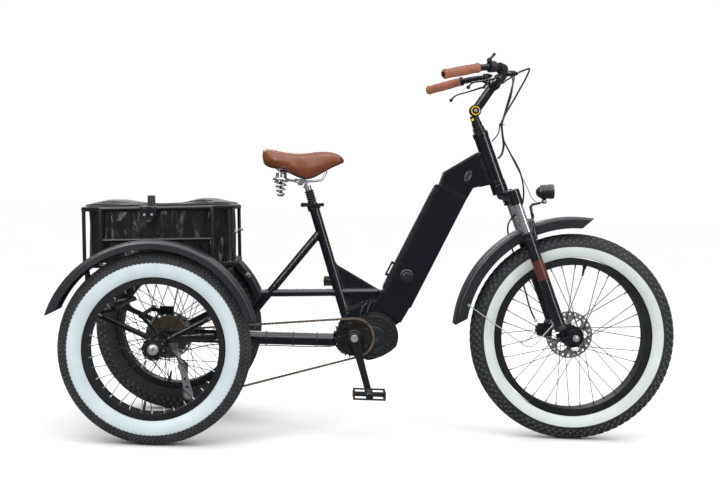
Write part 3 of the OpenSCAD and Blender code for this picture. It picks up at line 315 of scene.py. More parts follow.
NAVY = (0.0022, 0.0028, 0.0060)
MATERIALS = {
    "frame_paint": surface("frame_paint", NAVY, (0.0038, 0.0044, 0.0090), (0.16, 0.26), coat=1.0, coat_rough=0.035,
                           grain=(90, 0.0003, 0.04), dust=0.015, edge=0.009),
    "fork_paint": surface("fork_paint", (0.004, 0.005, 0.007), (0.008, 0.009, 0.012), (0.2, 0.3), coat=0.9,
                          coat_rough=0.05, grain=(90, 0.0003, 0.12), dust=0.03, edge=0.001),
    "subframe_paint": surface("subframe_paint", (0.004, 0.004, 0.005), (0.008, 0.009, 0.010), (0.26, 0.38),
                              coat=0.5, coat_rough=0.12, grain=(240, 0.0003, 0.25), dust=0.05),
    "motor_case": surface("motor_case", (0.006, 0.007, 0.008), (0.012, 0.013, 0.015), (0.3, 0.42), coat=0.3,
                          coat_rough=0.2, grain=(520, 0.0003, 0.4), dust=0.05, edge=0.001),
    "dark_alloy": surface("dark_alloy", (0.007, 0.008, 0.010), (0.014, 0.015, 0.018), (0.26, 0.4), metal=0.3,
                          coat=0.6, coat_rough=0.1, grain=(420, 0.0002, 0.3), dust=0.04),
    "rim_paint": surface("rim_paint", (0.005, 0.005, 0.006), (0.011, 0.011, 0.013), (0.34, 0.46), coat=0.3,
                         coat_rough=0.2, dust=0.05, specular=0.35),
    "fender_plastic": surface("fender_plastic", (0.010, 0.012, 0.015), (0.016, 0.019, 0.023), (0.26, 0.36),
                              coat=0.25, coat_rough=0.25, grain=(900, 0.0002, 0.3), patch=5, dust=0.06, edge=0.0012),
    "switch_plastic": surface("switch_plastic", (0.010, 0.010, 0.012), (0.018, 0.019, 0.021), (0.45, 0.6),
                              grain=(1000, 0.0003, 0.5), dust=0.06),
    "battery_plastic": surface("battery_plastic", (0.008, 0.009, 0.013), (0.014, 0.016, 0.021), (0.2, 0.32),
                               coat=0.8, coat_rough=0.08, grain=(120, 0.0003, 0.12), dust=0.03, edge=0.0015),
    "lamp_plastic": surface("lamp_plastic", (0.012, 0.012, 0.015), (0.02, 0.021, 0.024), (0.24, 0.36), coat=0.5,
                            grain=(700, 0.0002, 0.3), edge=0.0008),
    "tarpaulin": make_tarpaulin("tarpaulin", (0.16, 0.28), 0.7, 0.5),
    "saddle_leather": make_leather("saddle_leather", (0.132, 0.032, 0.011), (0.20, 0.055, 0.019), (0.27, 0.4)),
    "tan_grip": make_leather("tan_grip", (0.22, 0.070, 0.036), (0.33, 0.115, 0.062), (0.36, 0.5)),
    "tyre_rubber": make_tyre_rubber("tyre_rubber", (0.008, 0.009, 0.011), (0.016, 0.017, 0.021)),
    "soft_rubber": surface("soft_rubber", (0.010, 0.010, 0.011), (0.02, 0.02, 0.022), (0.5, 0.66),
                           grain=(800, 0.0002, 0.4), dust=0.08, edge=0.0),
    "cable_jacket": surface("cable_jacket", (0.006, 0.006, 0.007), (0.013, 0.013, 0.015), (0.3, 0.45),
                            grain=(900, 0.0001, 0.3), edge=0.0),
    "chain_steel": make_brushed("chain_steel", (0.14, 0.126, 0.108), (0.31, 0.285, 0.25), (0.3, 0.48), grime=0.6),
    "sprocket_steel": make_brushed("sprocket_steel", (0.17, 0.12, 0.08), (0.33, 0.25, 0.18), (0.28, 0.45),
                                   grime=0.85),
    "spoke_steel": make_brushed("spoke_steel", (0.012, 0.012, 0.013), (0.03, 0.03, 0.033), (0.3, 0.45)),
    "rotor_steel": make_brushed("rotor_steel", (0.4, 0.4, 0.41), (0.62, 0.62, 0.64), (0.22, 0.38), grime=0.2),
    "chromed_steel": make_brushed("chromed_steel", (0.66, 0.67, 0.69), (0.82, 0.83, 0.85), (0.1, 0.18), grime=0.04,
                                  metal=0.86),
    "silver_alloy": make_brushed("silver_alloy", (0.42, 0.43, 0.45), (0.62, 0.63, 0.66), (0.24, 0.4), grime=0.15),
    "lock_metal": make_brushed("lock_metal", (0.03, 0.032, 0.036), (0.07, 0.074, 0.082), (0.24, 0.36), grime=0.1),
}
REAR_WALL = make_sidewall("rear_sidewall", (0.49, 0.555, 0.58), (0.41, 0.475, 0.50))
FRONT_WALL = make_sidewall("front_sidewall", (0.54, 0.59, 0.57), (0.45, 0.50, 0.48))
WORN_RUBBER = make_tyre_rubber("worn_rubber", (0.030, 0.031, 0.034), (0.056, 0.057, 0.061))
WEBBING = make_webbing("webbing", (0.01, 0.01, 0.012), (0.05, 0.05, 0.055))
THREAD = make_webbing("thread", (0.5, 0.27, 0.13), (0.7, 0.42, 0.22))
COVER_CLOTH = make_tarpaulin("cover_cloth", (0.4, 0.55), 0.0, 0.35, 0.25)
LENS = make_lens()
LENS_DARK = surface("display_glass", (0.004, 0.004, 0.005), (0.008, 0.008, 0.010), (0.04, 0.09), coat=1.0,
                    coat_rough=0.03, grain=(40, 0.0001, 0.05), edge=0.0)
YELLOW = surface("yellow_anodised", (0.75, 0.5, 0.015), (0.9, 0.64, 0.03), (0.28, 0.4), metal=0.3, edge=0.0)
AMBER = surface("pedal_reflector", (0.55, 0.16, 0.01), (0.7, 0.24, 0.02), (0.12, 0.2), coat=0.8, edge=0.0)
RED = surface("fork_band", (0.06, 0.012, 0.009), (0.11, 0.02, 0.014), (0.3, 0.42), coat=0.3, edge=0.0)
RING_BLACK = make_brushed("chainring_black", (0.014, 0.013, 0.012), (0.04, 0.034, 0.028), (0.3, 0.45))
FLOOR = surface("floor", (0.86, 0.86, 0.86), (0.89, 0.89, 0.89), (0.55, 0.7), grain=(60, 0.0005, 0.1), patch=0.6,
                edge=0.0)

slot_of = {s["node"]: s["material_slot"] for s in frame["record"]["subparts"]}
for node_name, node in frame["nodes"].items():
    node.data.materials.clear()
    node.data.materials.append(RING_BLACK if node_name == "chainring" else MATERIALS[slot_of[node_name]])


# ---------- mesh building ----------

def piece(name, verts, faces, body, material, smooth=True, replaces=(), indices=None, extra=()):
    """Mesh object that rides on a body, shows the given materials and replaces CAD nodes."""
    mesh = bpy.data.meshes.new(name)
    mesh.from_pydata([tuple(v) for v in verts], [], [tuple(f) for f in faces])
    mesh.validate()
    mesh.update()
    for m in (material, *extra):
        mesh.materials.append(m)
    if indices is not None:
        mesh.polygons.foreach_set("material_index", indices)
    mesh.polygons.foreach_set("use_smooth", [smooth] * len(mesh.polygons))
    o = bpy.data.objects.new(name, mesh)
    bpy.context.scene.collection.objects.link(o)
    if smooth is True:
        mesh.set_sharp_from_angle(angle=math.radians(38))
    if replaces:
        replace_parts(o, *replaces)
    if body:
        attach(o, body)
    return o


class Build:
    """Collects separate closed shapes into one mesh."""

    def __init__(self):
        self.verts, self.faces, self.mats = [], [], []

    def add(self, verts, faces, material=0):
        base = len(self.verts)
        self.verts.extend(np.asarray(verts, float).tolist())
        self.faces.extend([[base + i for i in f] for f in faces])
        self.mats.extend([material] * len(faces))
        return self

    def sweep(self, points, radius, sides=12, material=0, caps=True, flat=1.0, side=None):
        """Tube along points. radius is one number or one for each point; flat squeezes it across side."""
        p = np.asarray(points, float)
        n = len(p)
        r = np.full(n, radius) if np.isscalar(radius) else np.asarray(radius, float)
        tangent = np.gradient(p, axis=0)
        tangent /= np.linalg.norm(tangent, axis=1)[:, None]
        up = np.array(side if side is not None else (0, 0, 1.0), float)
        if abs(tangent[0] @ up) > 0.95 and side is None:
            up = np.array((0, 1.0, 0))
        rings = []
        u = np.cross(tangent[0], up)
        u /= np.linalg.norm(u)
        for i in range(n):
            u = u - tangent[i] * (u @ tangent[i])
            u /= np.linalg.norm(u)
            v = np.cross(tangent[i], u)
            a = np.arange(sides) * TAU / sides
            rings.append(p[i] + r[i] * (np.outer(np.cos(a), u) + flat * np.outer(np.sin(a), v)))
        verts = np.concatenate(rings)
        faces = [[i * sides + k, i * sides + (k + 1) % sides, (i + 1) * sides + (k + 1) % sides, (i + 1) * sides + k]
                 for i in range(n - 1) for k in range(sides)]
        if caps:
            faces.append(list(range(sides))[::-1])
            faces.append([(n - 1) * sides + k for k in range(sides)])
        return self.add(verts, faces, material)

    def lathe(self, origin, axis, profile, segments=32, material=0, closed=False):
        """Turns (distance along axis, radius) pairs about the axis. closed joins the last pair to the first."""
        origin, axis = np.asarray(origin, float), unit(axis)
        helper = np.array((0, 0, 1.0)) if abs(axis[2]) < 0.9 else np.array((1.0, 0, 0))
        u = unit(np.cross(axis, helper))
        v = np.cross(axis, u)
        a = np.arange(segments) * TAU / segments
        around = np.outer(np.cos(a), u) + np.outer(np.sin(a), v)
        rows = [origin + axis * s + around * max(r, 1e-6) for s, r in profile]
        n = len(profile)
        faces = []
        for i in range(n if closed else n - 1):
            j = (i + 1) % n
            for k in range(segments):
                l = (k + 1) % segments
                faces.append([i * segments + k, i * segments + l, j * segments + l, j * segments + k])
        if not closed:
            faces.append(list(range(segments))[::-1])
            faces.append([(n - 1) * segments + k for k in range(segments)])
        return self.add(np.concatenate(rows), faces, material)

    def block(self, corners, material=0):
        """Six-sided solid from its eight corners: four below, four above, in the same order."""
        return self.add(corners, [(3, 2, 1, 0), (4, 5, 6, 7), (0, 1, 5, 4), (1, 2, 6, 5), (2, 3, 7, 6), (3, 0, 4, 7)],
                        material)

    def bolt(self, where, axis, r=0.003, height=0.003, material=0):
        """Button head with a hex socket's dimple."""
        self.lathe(where, axis, [(-0.001, r), (height * 0.4, r), (height * 0.85, r * 0.85), (height, r * 0.6),
                                 (height, r * 0.45), (height * 0.4, r * 0.42)], 16, material)

    def make(self, name, body, material, extra=(), slot=None, replaces=()):
        """The mesh as one piece. Materials are given by their names in MATERIALS or as they are."""
        named = [MATERIALS[m] if isinstance(m, str) else m for m in (material, *extra)]
        return piece(name, self.verts, self.faces, body, named[0], replaces=replaces,
                     indices=self.mats, extra=named[1:])


def smooth_route(points, steps=6):
    """Catmull-Rom curve through the points."""
    p = [np.asarray(q, float) for q in points]
    out = []
    for i in range(len(p) - 1):
        a, b, c, d = p[max(i - 1, 0)], p[i], p[i + 1], p[min(i + 2, len(p) - 1)]
        for j in range(steps):
            t = j / steps
            out.append((2 * b + (c - a) * t + (2 * a - 5 * b + 4 * c - d) * t * t
                        + (3 * b - a - 3 * c + d) * t ** 3) / 2)
    out.append(p[-1])
    return np.array(out)


def filleted(points, radius, steps=7):
    """Straight runs with rounded corners."""
    p = [np.asarray(q, float) for q in points]
    out = [p[0]]
    for i in range(1, len(p) - 1):
        a, b, c = p[i - 1], p[i], p[i + 1]
        cut = min(radius, np.linalg.norm(a - b) * 0.45, np.linalg.norm(c - b) * 0.45)
        s, e = b + unit(a - b) * cut, b + unit(c - b) * cut
        for k in range(steps + 1):
            t = k / steps
            out.append((1 - t) ** 2 * s + 2 * t * (1 - t) * b + t * t * e)
    out.append(p[-1])
    return np.array(out)


# ---------- camera and light ----------

CAMERA = dict(place=(0.500 - MID_X / 1000, -4.783, 0.782), yaw=-1.588, pitch=1.638, roll=2.135, lens=71.19)


def make_camera():
    """Near side view, level with the frame."""
    yaw, pitch, roll = (math.radians(CAMERA[k]) for k in ("yaw", "pitch", "roll"))
    ahead = Vector((-math.sin(yaw) * math.cos(pitch), math.cos(yaw) * math.cos(pitch), -math.sin(pitch)))
    right = Vector((math.cos(yaw), math.sin(yaw), 0))
    up = right.cross(ahead)
    across = right * math.cos(roll) + up * math.sin(roll)
    above = -right * math.sin(roll) + up * math.cos(roll)
    data = bpy.data.cameras.new("camera")
    data.lens = CAMERA["lens"]
    data.sensor_width = 36
    camera = bpy.data.objects.new("camera", data)
    bpy.context.scene.collection.objects.link(camera)
    turn = Matrix((across, above, -ahead)).transposed().to_4x4()
    camera.matrix_world = Matrix.Translation(CAMERA["place"]) @ turn
    bpy.context.scene.camera = camera


def area_light(name, place, target, size, power, colour=(1, 1, 1)):
    data = bpy.data.lights.new(name, "AREA")
    data.shape = "RECTANGLE"
    data.size, data.size_y = size
    data.energy = power
    data.color = colour
    o = bpy.data.objects.new(name, data)
    o.location = place
    o.rotation_mode = "QUATERNION"
    o.rotation_quaternion = (Vector(target) - Vector(place)).to_track_quat("-Z", "Y")
    bpy.context.scene.collection.objects.link(o)


def make_studio():
    """White seamless studio: a wide overhead softbox over an endless pale floor. Glossy paint mirrors only the
    lamps and a dim room, as between black flags."""
    world = bpy.data.worlds.new("studio")
    bpy.context.scene.world = world
    world.use_nodes = True
    nt = world.node_tree
    around = nt.nodes["Background"]
    around.inputs[0].default_value = (0.93, 0.96, 1.0, 1)
    around.inputs[1].default_value = 0.10
    seamless = nt.nodes.new("ShaderNodeBackground")
    seamless.inputs[0].default_value = (1, 1, 1, 1)
    path = nt.nodes.new("ShaderNodeLightPath")
    mix = nt.nodes.new("ShaderNodeMixShader")
    nt.links.new(path.outputs["Is Camera Ray"], mix.inputs[0])
    nt.links.new(around.outputs[0], mix.inputs[1])
    nt.links.new(seamless.outputs[0], mix.inputs[2])
    nt.links.new(mix.outputs[0], nt.nodes["World Output"].inputs[0])
    bpy.context.scene.view_settings.view_transform = "Standard"
    half = 60
    floor = piece("floor", [(-half, -half, 0), (half, -half, 0), (half, half, 0), (-half, half, 0)], [(0, 1, 2, 3)],
                  None, FLOOR, smooth=False)
    floor.visible_glossy = False
    sun = bpy.data.lights.new("overhead_softbox", "SUN")
    sun.energy = 3.9
    sun.angle = math.radians(100)
    o = bpy.data.objects.new("overhead_softbox", sun)
    o.rotation_euler = (math.radians(18), 0, 0)
    bpy.context.scene.collection.objects.link(o)
    area_light("key", (-1.9, -3.2, 2.2), (0, 0, 0.6), (0.4, 2.6), 46)
    area_light("front_fill", (3.2, -2.6, 2.0), (0.2, 0, 0.6), (0.4, 2.6), 34)
    area_light("back_rim", (-0.6, 3.6, 2.6), (0, 0, 0.6), (3.4, 1.2), 60)


make_camera()
make_studio()


# ---------- wheels ----------

def tyre_mesh(build, centre, radius, section, wall, wall_sides, tread_depth, bead_cos):
    """Tyre as a turned skin: outside, over both beads and back inside. Band of another material where the
    sidewall is pale, on the sides named in wall_sides."""
    middle = radius - section
    skin = section - tread_depth
    top = math.radians(180) - math.acos(bead_cos)
    outside, inside = [], []
    steps = 44
    for i in range(steps + 1):
        a = -top + 2 * top * i / steps
        shoulder = 0.0006 * math.exp(-((abs(math.degrees(a)) - 78) / 7) ** 2)
        outside.append((middle + (skin + shoulder) * math.cos(a), (skin + shoulder) * math.sin(a)))
    for i in range(13):
        a = top - 2 * top * i / 12
        inside.append((middle + (skin - 0.004) * math.cos(a), (skin - 0.004) * math.sin(a)))
    profile = outside + inside
    segments = 160
    rows, faces, mats = [], [], []
    for r, y in profile:
        t = np.arange(segments) * TAU / segments
        rows.append(np.stack([centre[0] + r * np.cos(t), np.full(segments, centre[1] + y),
                              centre[2] + r * np.sin(t)], 1))
    n = len(profile)
    for i in range(n):
        j = (i + 1) % n
        r_mid = (profile[i][0] + profile[j][0]) / 2
        side = 1 if profile[i][1] + profile[j][1] > 0 else -1
        pale = i < steps and wall[0] < r_mid < wall[1] and side in wall_sides
        for k in range(segments):
            l = (k + 1) % segments
            faces.append([i * segments + k, j * segments + k, j * segments + l, i * segments + l])
            mats.append(1 if pale else 0)
    base = len(build.verts)
    build.verts.extend(np.concatenate(rows).tolist())
    build.faces.extend([[base + q for q in f] for f in faces])
    build.mats.extend(mats)


def lugs(build, centre, radius, section, rows, depth):
    """Tread blocks. Each row is (angle across the section, half width, half length, slant, count, phase)."""
    middle = radius - section
    for across, half_w, half_l, slant, count, phase in rows:
        for k in range(count):
            turn = TAU * (k + phase) / count
            corners = []
            for height, shrink in ((section - depth - 0.0006, 1.0), (section - 0.0002, 0.8)):
                for u, v in ((-1, -1), (1, -1), (1, 1), (-1, 1)):
                    a = across + u * half_w * shrink / section
                    length = half_l * shrink * v + slant * u * half_w
                    t = turn + length / radius
                    r = middle + height * math.cos(a)
                    corners.append((centre[0] + r * math.cos(t), centre[1] + height * math.sin(a),
                                    centre[2] + r * math.sin(t)))
            build.block(corners, 2)


def make_tyres():
    """Front: two whitewalls and a tread of slanted blocks. Rear: one whitewall outside, herringbone rows on top and
    on the outer shoulder, and plain knobs on the inner one."""
    radius, section, depth = FRONT_HUB[2], 0.049, 0.0028
    front = Build()
    tyre_mesh(front, FRONT_HUB, radius, section, (0.268, 0.3035), (-1, 1), depth, BEAD_COS)
    lugs(front, FRONT_HUB, radius, section,
         [(s * math.radians(across), half_w, half_l, slant * s, 84, phase) for s in (-1, 1)
          for across, half_w, half_l, slant, phase in ((7, 0.0042, 0.0075, 0.5, 0.25 - 0.25 * s),
                                                       (21, 0.0045, 0.0065, -0.4, 0.25),
                                                       (36, 0.0048, 0.006, 0.4, 0.75),
                                                       (52, 0.0062, 0.0048, 0.0, 0.1),
                                                       (66, 0.0048, 0.0050, 0.5, 0.6))], depth)
    front.make("front_tyre_tread", "front_wheel", "tyre_rubber", (FRONT_WALL, WORN_RUBBER), replaces=["front_tyre"])
    for side, hub in REAR_HUBS.items():
        radius, section, depth = hub[2], 0.048, 0.0026
        outer = math.copysign(1, hub[1])
        b = Build()
        tyre_mesh(b, hub, radius, section, (0.217, 0.2635), (outer,), depth, BEAD_COS)
        rows = [(s * math.radians(across), 0.0052, 0.0036, slant * s, 126, phase) for s in (-1, 1)
                for across, slant, phase in ((8, 1.1, 0.0), (23, 1.1, 0.5), (38, -0.9, 0.0))]
        rows += [(outer * math.radians(across), 0.0035, 0.0034, slant * outer, 126, phase)
                 for across, slant, phase in ((50, 1.0, 0.0), (60, -1.0, 0.5), (70, 1.0, 0.0))]
        rows += [(-outer * math.radians(across), 0.0062, 0.0062, 0.0, 72, phase)
                 for across, phase in ((56, 0.3), (76, 0.8))]
        lugs(b, hub, radius, section, rows, depth)
        b.make("rear_tyre_%s_tread" % side, "wheel_" + side, "tyre_rubber", (REAR_WALL, WORN_RUBBER),
               replaces=["rear_tyre_" + side])


def wheel_trim(name, centre, rim_in, body, outer_side, cap, valve_at, metal):
    """Nipples, valve, hub dome and spoke elbows of one wheel."""
    b = Build()
    for i in range(36):
        a = TAU * i / 36
        lean = 1 if (i // 2) % 2 == 0 else -1
        side = 1 if i % 2 == 0 else -1
        foot = centre + np.array([rim_in * math.cos(a), side * (0.014 + lean * 0.002), rim_in * math.sin(a)])
        inward = unit(centre - foot) * np.array([1, 0, 1])
        b.lathe(foot, inward, [(-0.0012, 0.0027), (0.003, 0.0026), (0.0042, 0.002), (0.011, 0.0018), (0.012, 0.0013)],
                10)
        hub_a = a + lean * math.radians(62)
        head = centre + np.array([0.032 * math.cos(hub_a), side * (0.030 + lean * 0.0044), 0.032 * math.sin(hub_a)])
        b.lathe(head - np.array([0, 0.0022, 0]) * lean * side, (0, lean * side, 0),
                [(-0.0006, 0.0021), (0.001, 0.0024), (0.002, 0.0016)], 8)
    a = math.radians(valve_at)
    foot = centre + np.array([rim_in * math.cos(a), 0, rim_in * math.sin(a)])
    inward = unit(centre - foot)
    b.lathe(foot, inward, [(-0.002, 0.0062), (0.004, 0.0060), (0.006, 0.0042), (0.026, 0.0040), (0.028, 0.0034),
                           (0.034, 0.0032), (0.036, 0.002)], 16, 1)
    if cap:
        b.lathe(centre + np.array([0, outer_side * 0.044, 0]), (0, outer_side, 0),
                [(-0.004, 0.0172), (0.0045, 0.0172), (0.0055, 0.0166), (0.0095, 0.0148), (0.0118, 0.0108),
                 (0.0126, 0.005), (0.0128, 0.001)], 40, 2)
    b.make(name, body, MATERIALS[metal], ("soft_rubber", "rotor_steel"), slot=metal)


def make_wheel_trim():
    """Trim of all three wheels, and the front axle's nuts, which stay with the fork."""
    wheel_trim("front_wheel_trim", FRONT_HUB, 0.2416, "front_wheel", -1, False, 82, "dark_alloy")
    for side, hub in REAR_HUBS.items():
        wheel_trim("rear_wheel_trim_" + side, hub, 0.2006, "wheel_" + side, math.copysign(1, hub[1]), True, -98,
                   "silver_alloy")
    b = Build()
    for s in (-1, 1):
        b.lathe(at(1360, s * 88, 346.5), (0, s, 0), [(-0.001, 0.0085), (0.006, 0.0085), (0.0075, 0.007)], 6)
        b.lathe(at(1360, s * 88, 346.5), (0, s, 0), [(-0.001, 0.0112), (0.0012, 0.0112)], 28)
        b.lathe(at(1360, s * 95, 346.5), (0, s, 0), [(-0.001, 0.005), (0.004, 0.0048), (0.0055, 0.003)], 20)
    b.make("front_axle_nuts", "fork", "silver_alloy")


make_tyres()
make_wheel_trim()


# ---------- basket ----------

def in_basket(x, y, z):
    """A point in the cargo cage's own millimetres; the cage leans back by three degrees."""
    c, s = math.cos(math.radians(3)), math.sin(math.radians(3))
    return at(-22 + x * c - z * s, y, 639 + x * s + z * c)


def cage_outline(inset, count, round_off=26):
    """Evenly spaced points and outward directions around the cage, inset from the middle of its tubes."""
    x, y, c = 239.5 - inset, 237.5 - inset, 62
    corners = [(x - c, -y), (x, -y + c), (x, y - c), (x - c, y), (-x + c, y), (-x, y - c), (-x, -y + c), (-x + c, -y)]
    dense = []
    for i in range(8):
        a, b, d = (np.array(corners[(i + k) % 8], float) for k in (-1, 0, 1))
        s, e = b + unit(a - b) * round_off, b + unit(d - b) * round_off
        dense += [(1 - t) ** 2 * s + 2 * t * (1 - t) * b + t * t * e for t in np.linspace(0, 1, 8)]
    dense = np.array(dense + [dense[0]])
    length = np.concatenate([[0], np.cumsum(np.linalg.norm(np.diff(dense, axis=0), axis=1))])
    along = np.linspace(0, length[-1], count, endpoint=False)
    p = np.stack([np.interp(along, length, dense[:, k]) for k in (0, 1)], 1)
    way = np.roll(p, -1, 0) - np.roll(p, 1, 0)
    way /= np.linalg.norm(way, axis=1)[:, None]
    return p, np.stack([way[:, 1], -way[:, 0]], 1), length[-1]


def grid_faces(rows, around):
    """Quads between rows of points, each row closed on itself."""
    faces = []
    for i in range(rows - 1):
        for k in range(around):
            l = (k + 1) % around
            faces.append([i * around + k, i * around + l, (i + 1) * around + l, (i + 1) * around + k])
    return faces


def thicken(o, thickness, offset):
    m = o.modifiers.new("cloth_thickness", "SOLIDIFY")
    m.thickness = thickness
    m.offset = offset


def make_liner():
    """Fabric liner of the cage: four sides with soft random folds, then the floor, drawn in ring by ring."""
    count, rows, floor_rows = 460, 22, 9
    p, out, perimeter = cage_outline(11, count)
    spot = np.arange(count) / count
    folds = []
    for i in range(64):
        folds.append((rng.random(), rng.uniform(0.003, 0.011), rng.uniform(-6, 4), rng.uniform(-0.035, 0.035),
                      rng.uniform(0.2, 0.8), rng.uniform(0.25, 0.7)))
    verts = []
    for j in range(rows):
        v = j / (rows - 1)
        z = 98 - 180 * v
        swell = np.zeros(count)
        for place, width, tall, slant, mid, reach in folds:
            gap_to = (spot - place - slant * v + 0.5) % 1 - 0.5
            swell += tall * np.exp(-(gap_to / width) ** 2) * math.exp(-((v - mid) / reach) ** 2)
        swell += 2.2 * math.sin(math.pi * v) * np.sin(spot * TAU * 5 + 0.7)
        swell = np.clip(swell, -9, 4) * min(1, v * 7) * min(1, (1 - v) * 9)
        for q, n, d in zip(p, out, swell):
            verts.append(in_basket(q[0] + n[0] * d, q[1] + n[1] * d, z))
    for j in range(1, floor_rows + 1):
        t = 1 - j / (floor_rows + 0.3)
        for q in p:
            verts.append(in_basket(q[0] * t, q[1] * t, -82 - 0.6 * (1 - t) + 0.5 * math.sin(q[0] * t / 21)))
    faces = grid_faces(rows + floor_rows, count)
    faces.append([(rows + floor_rows - 1) * count + k for k in range(count)])
    liner = piece("basket_liner_cloth", verts, faces, "frame", MATERIALS["tarpaulin"],
                  replaces=["basket_liner"])
    thicken(liner, 0.0026, 1)
    b = Build()
    hem = [in_basket(q[0] - n[0] * 1.0, q[1] - n[1] * 1.0, 95) for q, n in zip(p, out)]
    b.sweep(hem + hem[:1], 0.0026, 8, caps=False)
    hem_piece = b.make("basket_liner_hem", "frame", WEBBING, slot="tarpaulin")


def make_cover():
    """Lid over the cage: two lengthwise humps, ripples inside and a drop to the cage's top rail."""
    count, rings = 380, 30
    p, out, _ = cage_outline(5, count)
    verts = []

    def lid_height(x, y, edge):
        peaks = sum(math.exp(-((x - m) / 62) ** 2) for m in (-150, 150))
        fall = 1 - (abs(y) / 236) ** 6
        ripple = 0.9 * math.sin(x / 17 + 0.6 * math.sin(y / 31)) + 0.7 * math.sin(y / 13 + x / 43)
        return 102.6 + 15.5 * peaks * fall + 2.2 * (1 - edge ** 8) + ripple * (1 - edge ** 6)

    for drop in (0.0, 1.0):
        for q, n in zip(p, out):
            verts.append(in_basket(q[0] + n[0] * 0.8, q[1] + n[1] * 0.8, 99.4 + 2.0 * drop))
    for j in range(rings):
        t = min(0.992, 1 - j / (rings - 0.55))
        for q in p:
            x, y = q[0] * t, q[1] * t
            verts.append(in_basket(x, y, lid_height(x, y, t)))
    faces = grid_faces(rings + 2, count)
    faces.append([(rings + 1) * count + k for k in range(count)])
    cover = piece("basket_cover_cloth", verts, faces, "cover", COVER_CLOTH,
                  replaces=["basket_cover"])
    thicken(cover, 0.0022, -1)
    b = Build()
    hem = [in_basket(q[0] + n[0] * 1.0, q[1] + n[1] * 1.0, 101.2) for q, n in zip(p, out)]
    b.sweep(hem + hem[:1], 0.0028, 8, caps=False)
    for y in (-1, 1):
        seam = [in_basket(x, y * 200, lid_height(x, y * 200, 0.84) + 0.6) for x in range(-176, 177, 4)]
        b.sweep(seam, 0.0016, 6, flat=0.6)
    hem_piece = b.make("basket_cover_hem", "cover", WEBBING, slot="tarpaulin")


def slab(build, near, far, material=0):
    """Flat plate between two matching outlines."""
    n = len(near)
    build.add(list(near) + list(far), [list(range(n)), list(range(n, 2 * n))[::-1]]
              + [[k, n + k, n + (k + 1) % n, (k + 1) % n] for k in range(n)], material)


def strip(build, centre_line, width_way, half, thick, material=0):
    """Flat webbing along a line of points."""
    p = np.asarray(centre_line, float)
    w = unit(width_way)
    t = np.gradient(p, axis=0)
    up = np.cross(t, w)
    up /= np.linalg.norm(up, axis=1)[:, None]
    verts = []
    for q, u in zip(p, up):
        verts += [q - w * half - u * thick / 2, q + w * half - u * thick / 2, q + w * half + u * thick / 2,
                  q - w * half + u * thick / 2]
    n = len(p)
    faces = [[4 * i + k, 4 * i + (k + 1) % 4, 4 * (i + 1) + (k + 1) % 4, 4 * (i + 1) + k]
             for i in range(n - 1) for k in range(4)]
    faces += [[3, 2, 1, 0], [4 * (n - 1) + k for k in range(4)]]
    build.add(verts, faces, material)


def make_basket_details():
    """Pull strap, buckle tab, studs, lock loops and the cage's weld beads."""
    b = Build()
    loop = [in_basket(-14, -233 + 3.2 * math.sin(a), 101 + 30 * (0.5 - 0.5 * math.cos(a)))
            for a in np.linspace(0.15, TAU - 0.15, 28)]
    strip(b, loop, (1, 0, 0.05), 0.012, 0.0016)
    b.make("cover_pull_strap", "cover", WEBBING, slot="tarpaulin")

    b = Build()
    patch = [(-24 - 27 * math.cos(a), 78 - 30 * math.sin(a)) for a in np.linspace(0, math.pi, 24)]
    slab(b, *([in_basket(x, y, z) for x, z in patch] for y in (-246.6, -244.6)))
    strip(b, [in_basket(-24, -245.6, z) for z in (76, 84)] + [in_basket(-24, y, z) for y, z in
          ((-246.0, 92), (-244.5, 97.5), (-241, 99.4), (-232, 99.8))], (1, 0, 0.05), 0.027, 0.0016)
    patch_piece = b.make("liner_tab", "frame", "tarpaulin")
    patch_piece.data.set_sharp_from_angle(angle=math.radians(30))
    b = Build()
    for x in (-36, -12):
        where = in_basket(x, -246.4, 70)
        b.lathe(where, (0, -1, 0), [(-0.001, 0.0042), (0.0008, 0.0042), (0.0018, 0.0034), (0.0021, 0.0012)], 18)
    for side in (-1, 1):
        end = in_basket(239.5, side * 168, 10)
        b.lathe(end, (1, 0, 0.05), [(-0.004, 0.0046), (0.012, 0.0046), (0.0135, 0.003)], 20)
    b.make("basket_studs", "frame", "silver_alloy")

    b = Build()
    for k, (y, tilt) in enumerate(((-168, 0.3), (-156, -0.5))):
        middle = in_basket(243, y, 84 - 3 * k)
        ring = [middle + np.array([0.0015 * math.sin(a) * tilt, 0.0085 * math.sin(a) * math.cos(tilt),
                                   0.0125 * math.cos(a)]) for a in np.linspace(0, TAU, 30)]
        b.sweep(ring, 0.0016, 8, caps=False)
    b.make("cover_lock_loops", "frame", "lock_metal")

    b = Build()
    for x, y in ((177.5, 237.5), (239.5, 175.5), (-177.5, 237.5), (-239.5, 175.5)):
        for s in (-1, 1):
            for z, way in ((83.5, 1), (-83.5, -1)):
                b.lathe(in_basket(x, s * y, z), in_basket(0, 0, way) - in_basket(0, 0, 0),
                        [(-0.0015, 0.0063), (0.0002, 0.0078), (0.0016, 0.0074), (0.003, 0.0062)], 20)
    b.make("cage_weld_beads", "frame", "subframe_paint")


make_liner()
make_cover()
make_basket_details()


# ---------- saddle ----------

# Distance forward, half width, top and bottom of the cover
SADDLE = [(299, 58, 936, 898), (303, 72, 940, 888), (311, 85, 942, 880), (325, 96, 941.5, 876), (342, 102, 939, 873),
          (362, 104, 936.5, 868), (385, 103, 933, 861), (404, 97, 931, 853), (420, 86, 930.5, 846),
          (436, 75, 931.5, 842), (452, 65, 933, 842), (468, 56, 935.5, 847), (484, 48, 937.5, 856),
          (500, 41, 938.5, 866), (516, 35, 938, 876), (532, 31, 936, 885), (546, 27, 931.5, 892), (557, 22, 925, 898),
          (564, 15, 918, 903), (567.5, 8, 913, 906)]


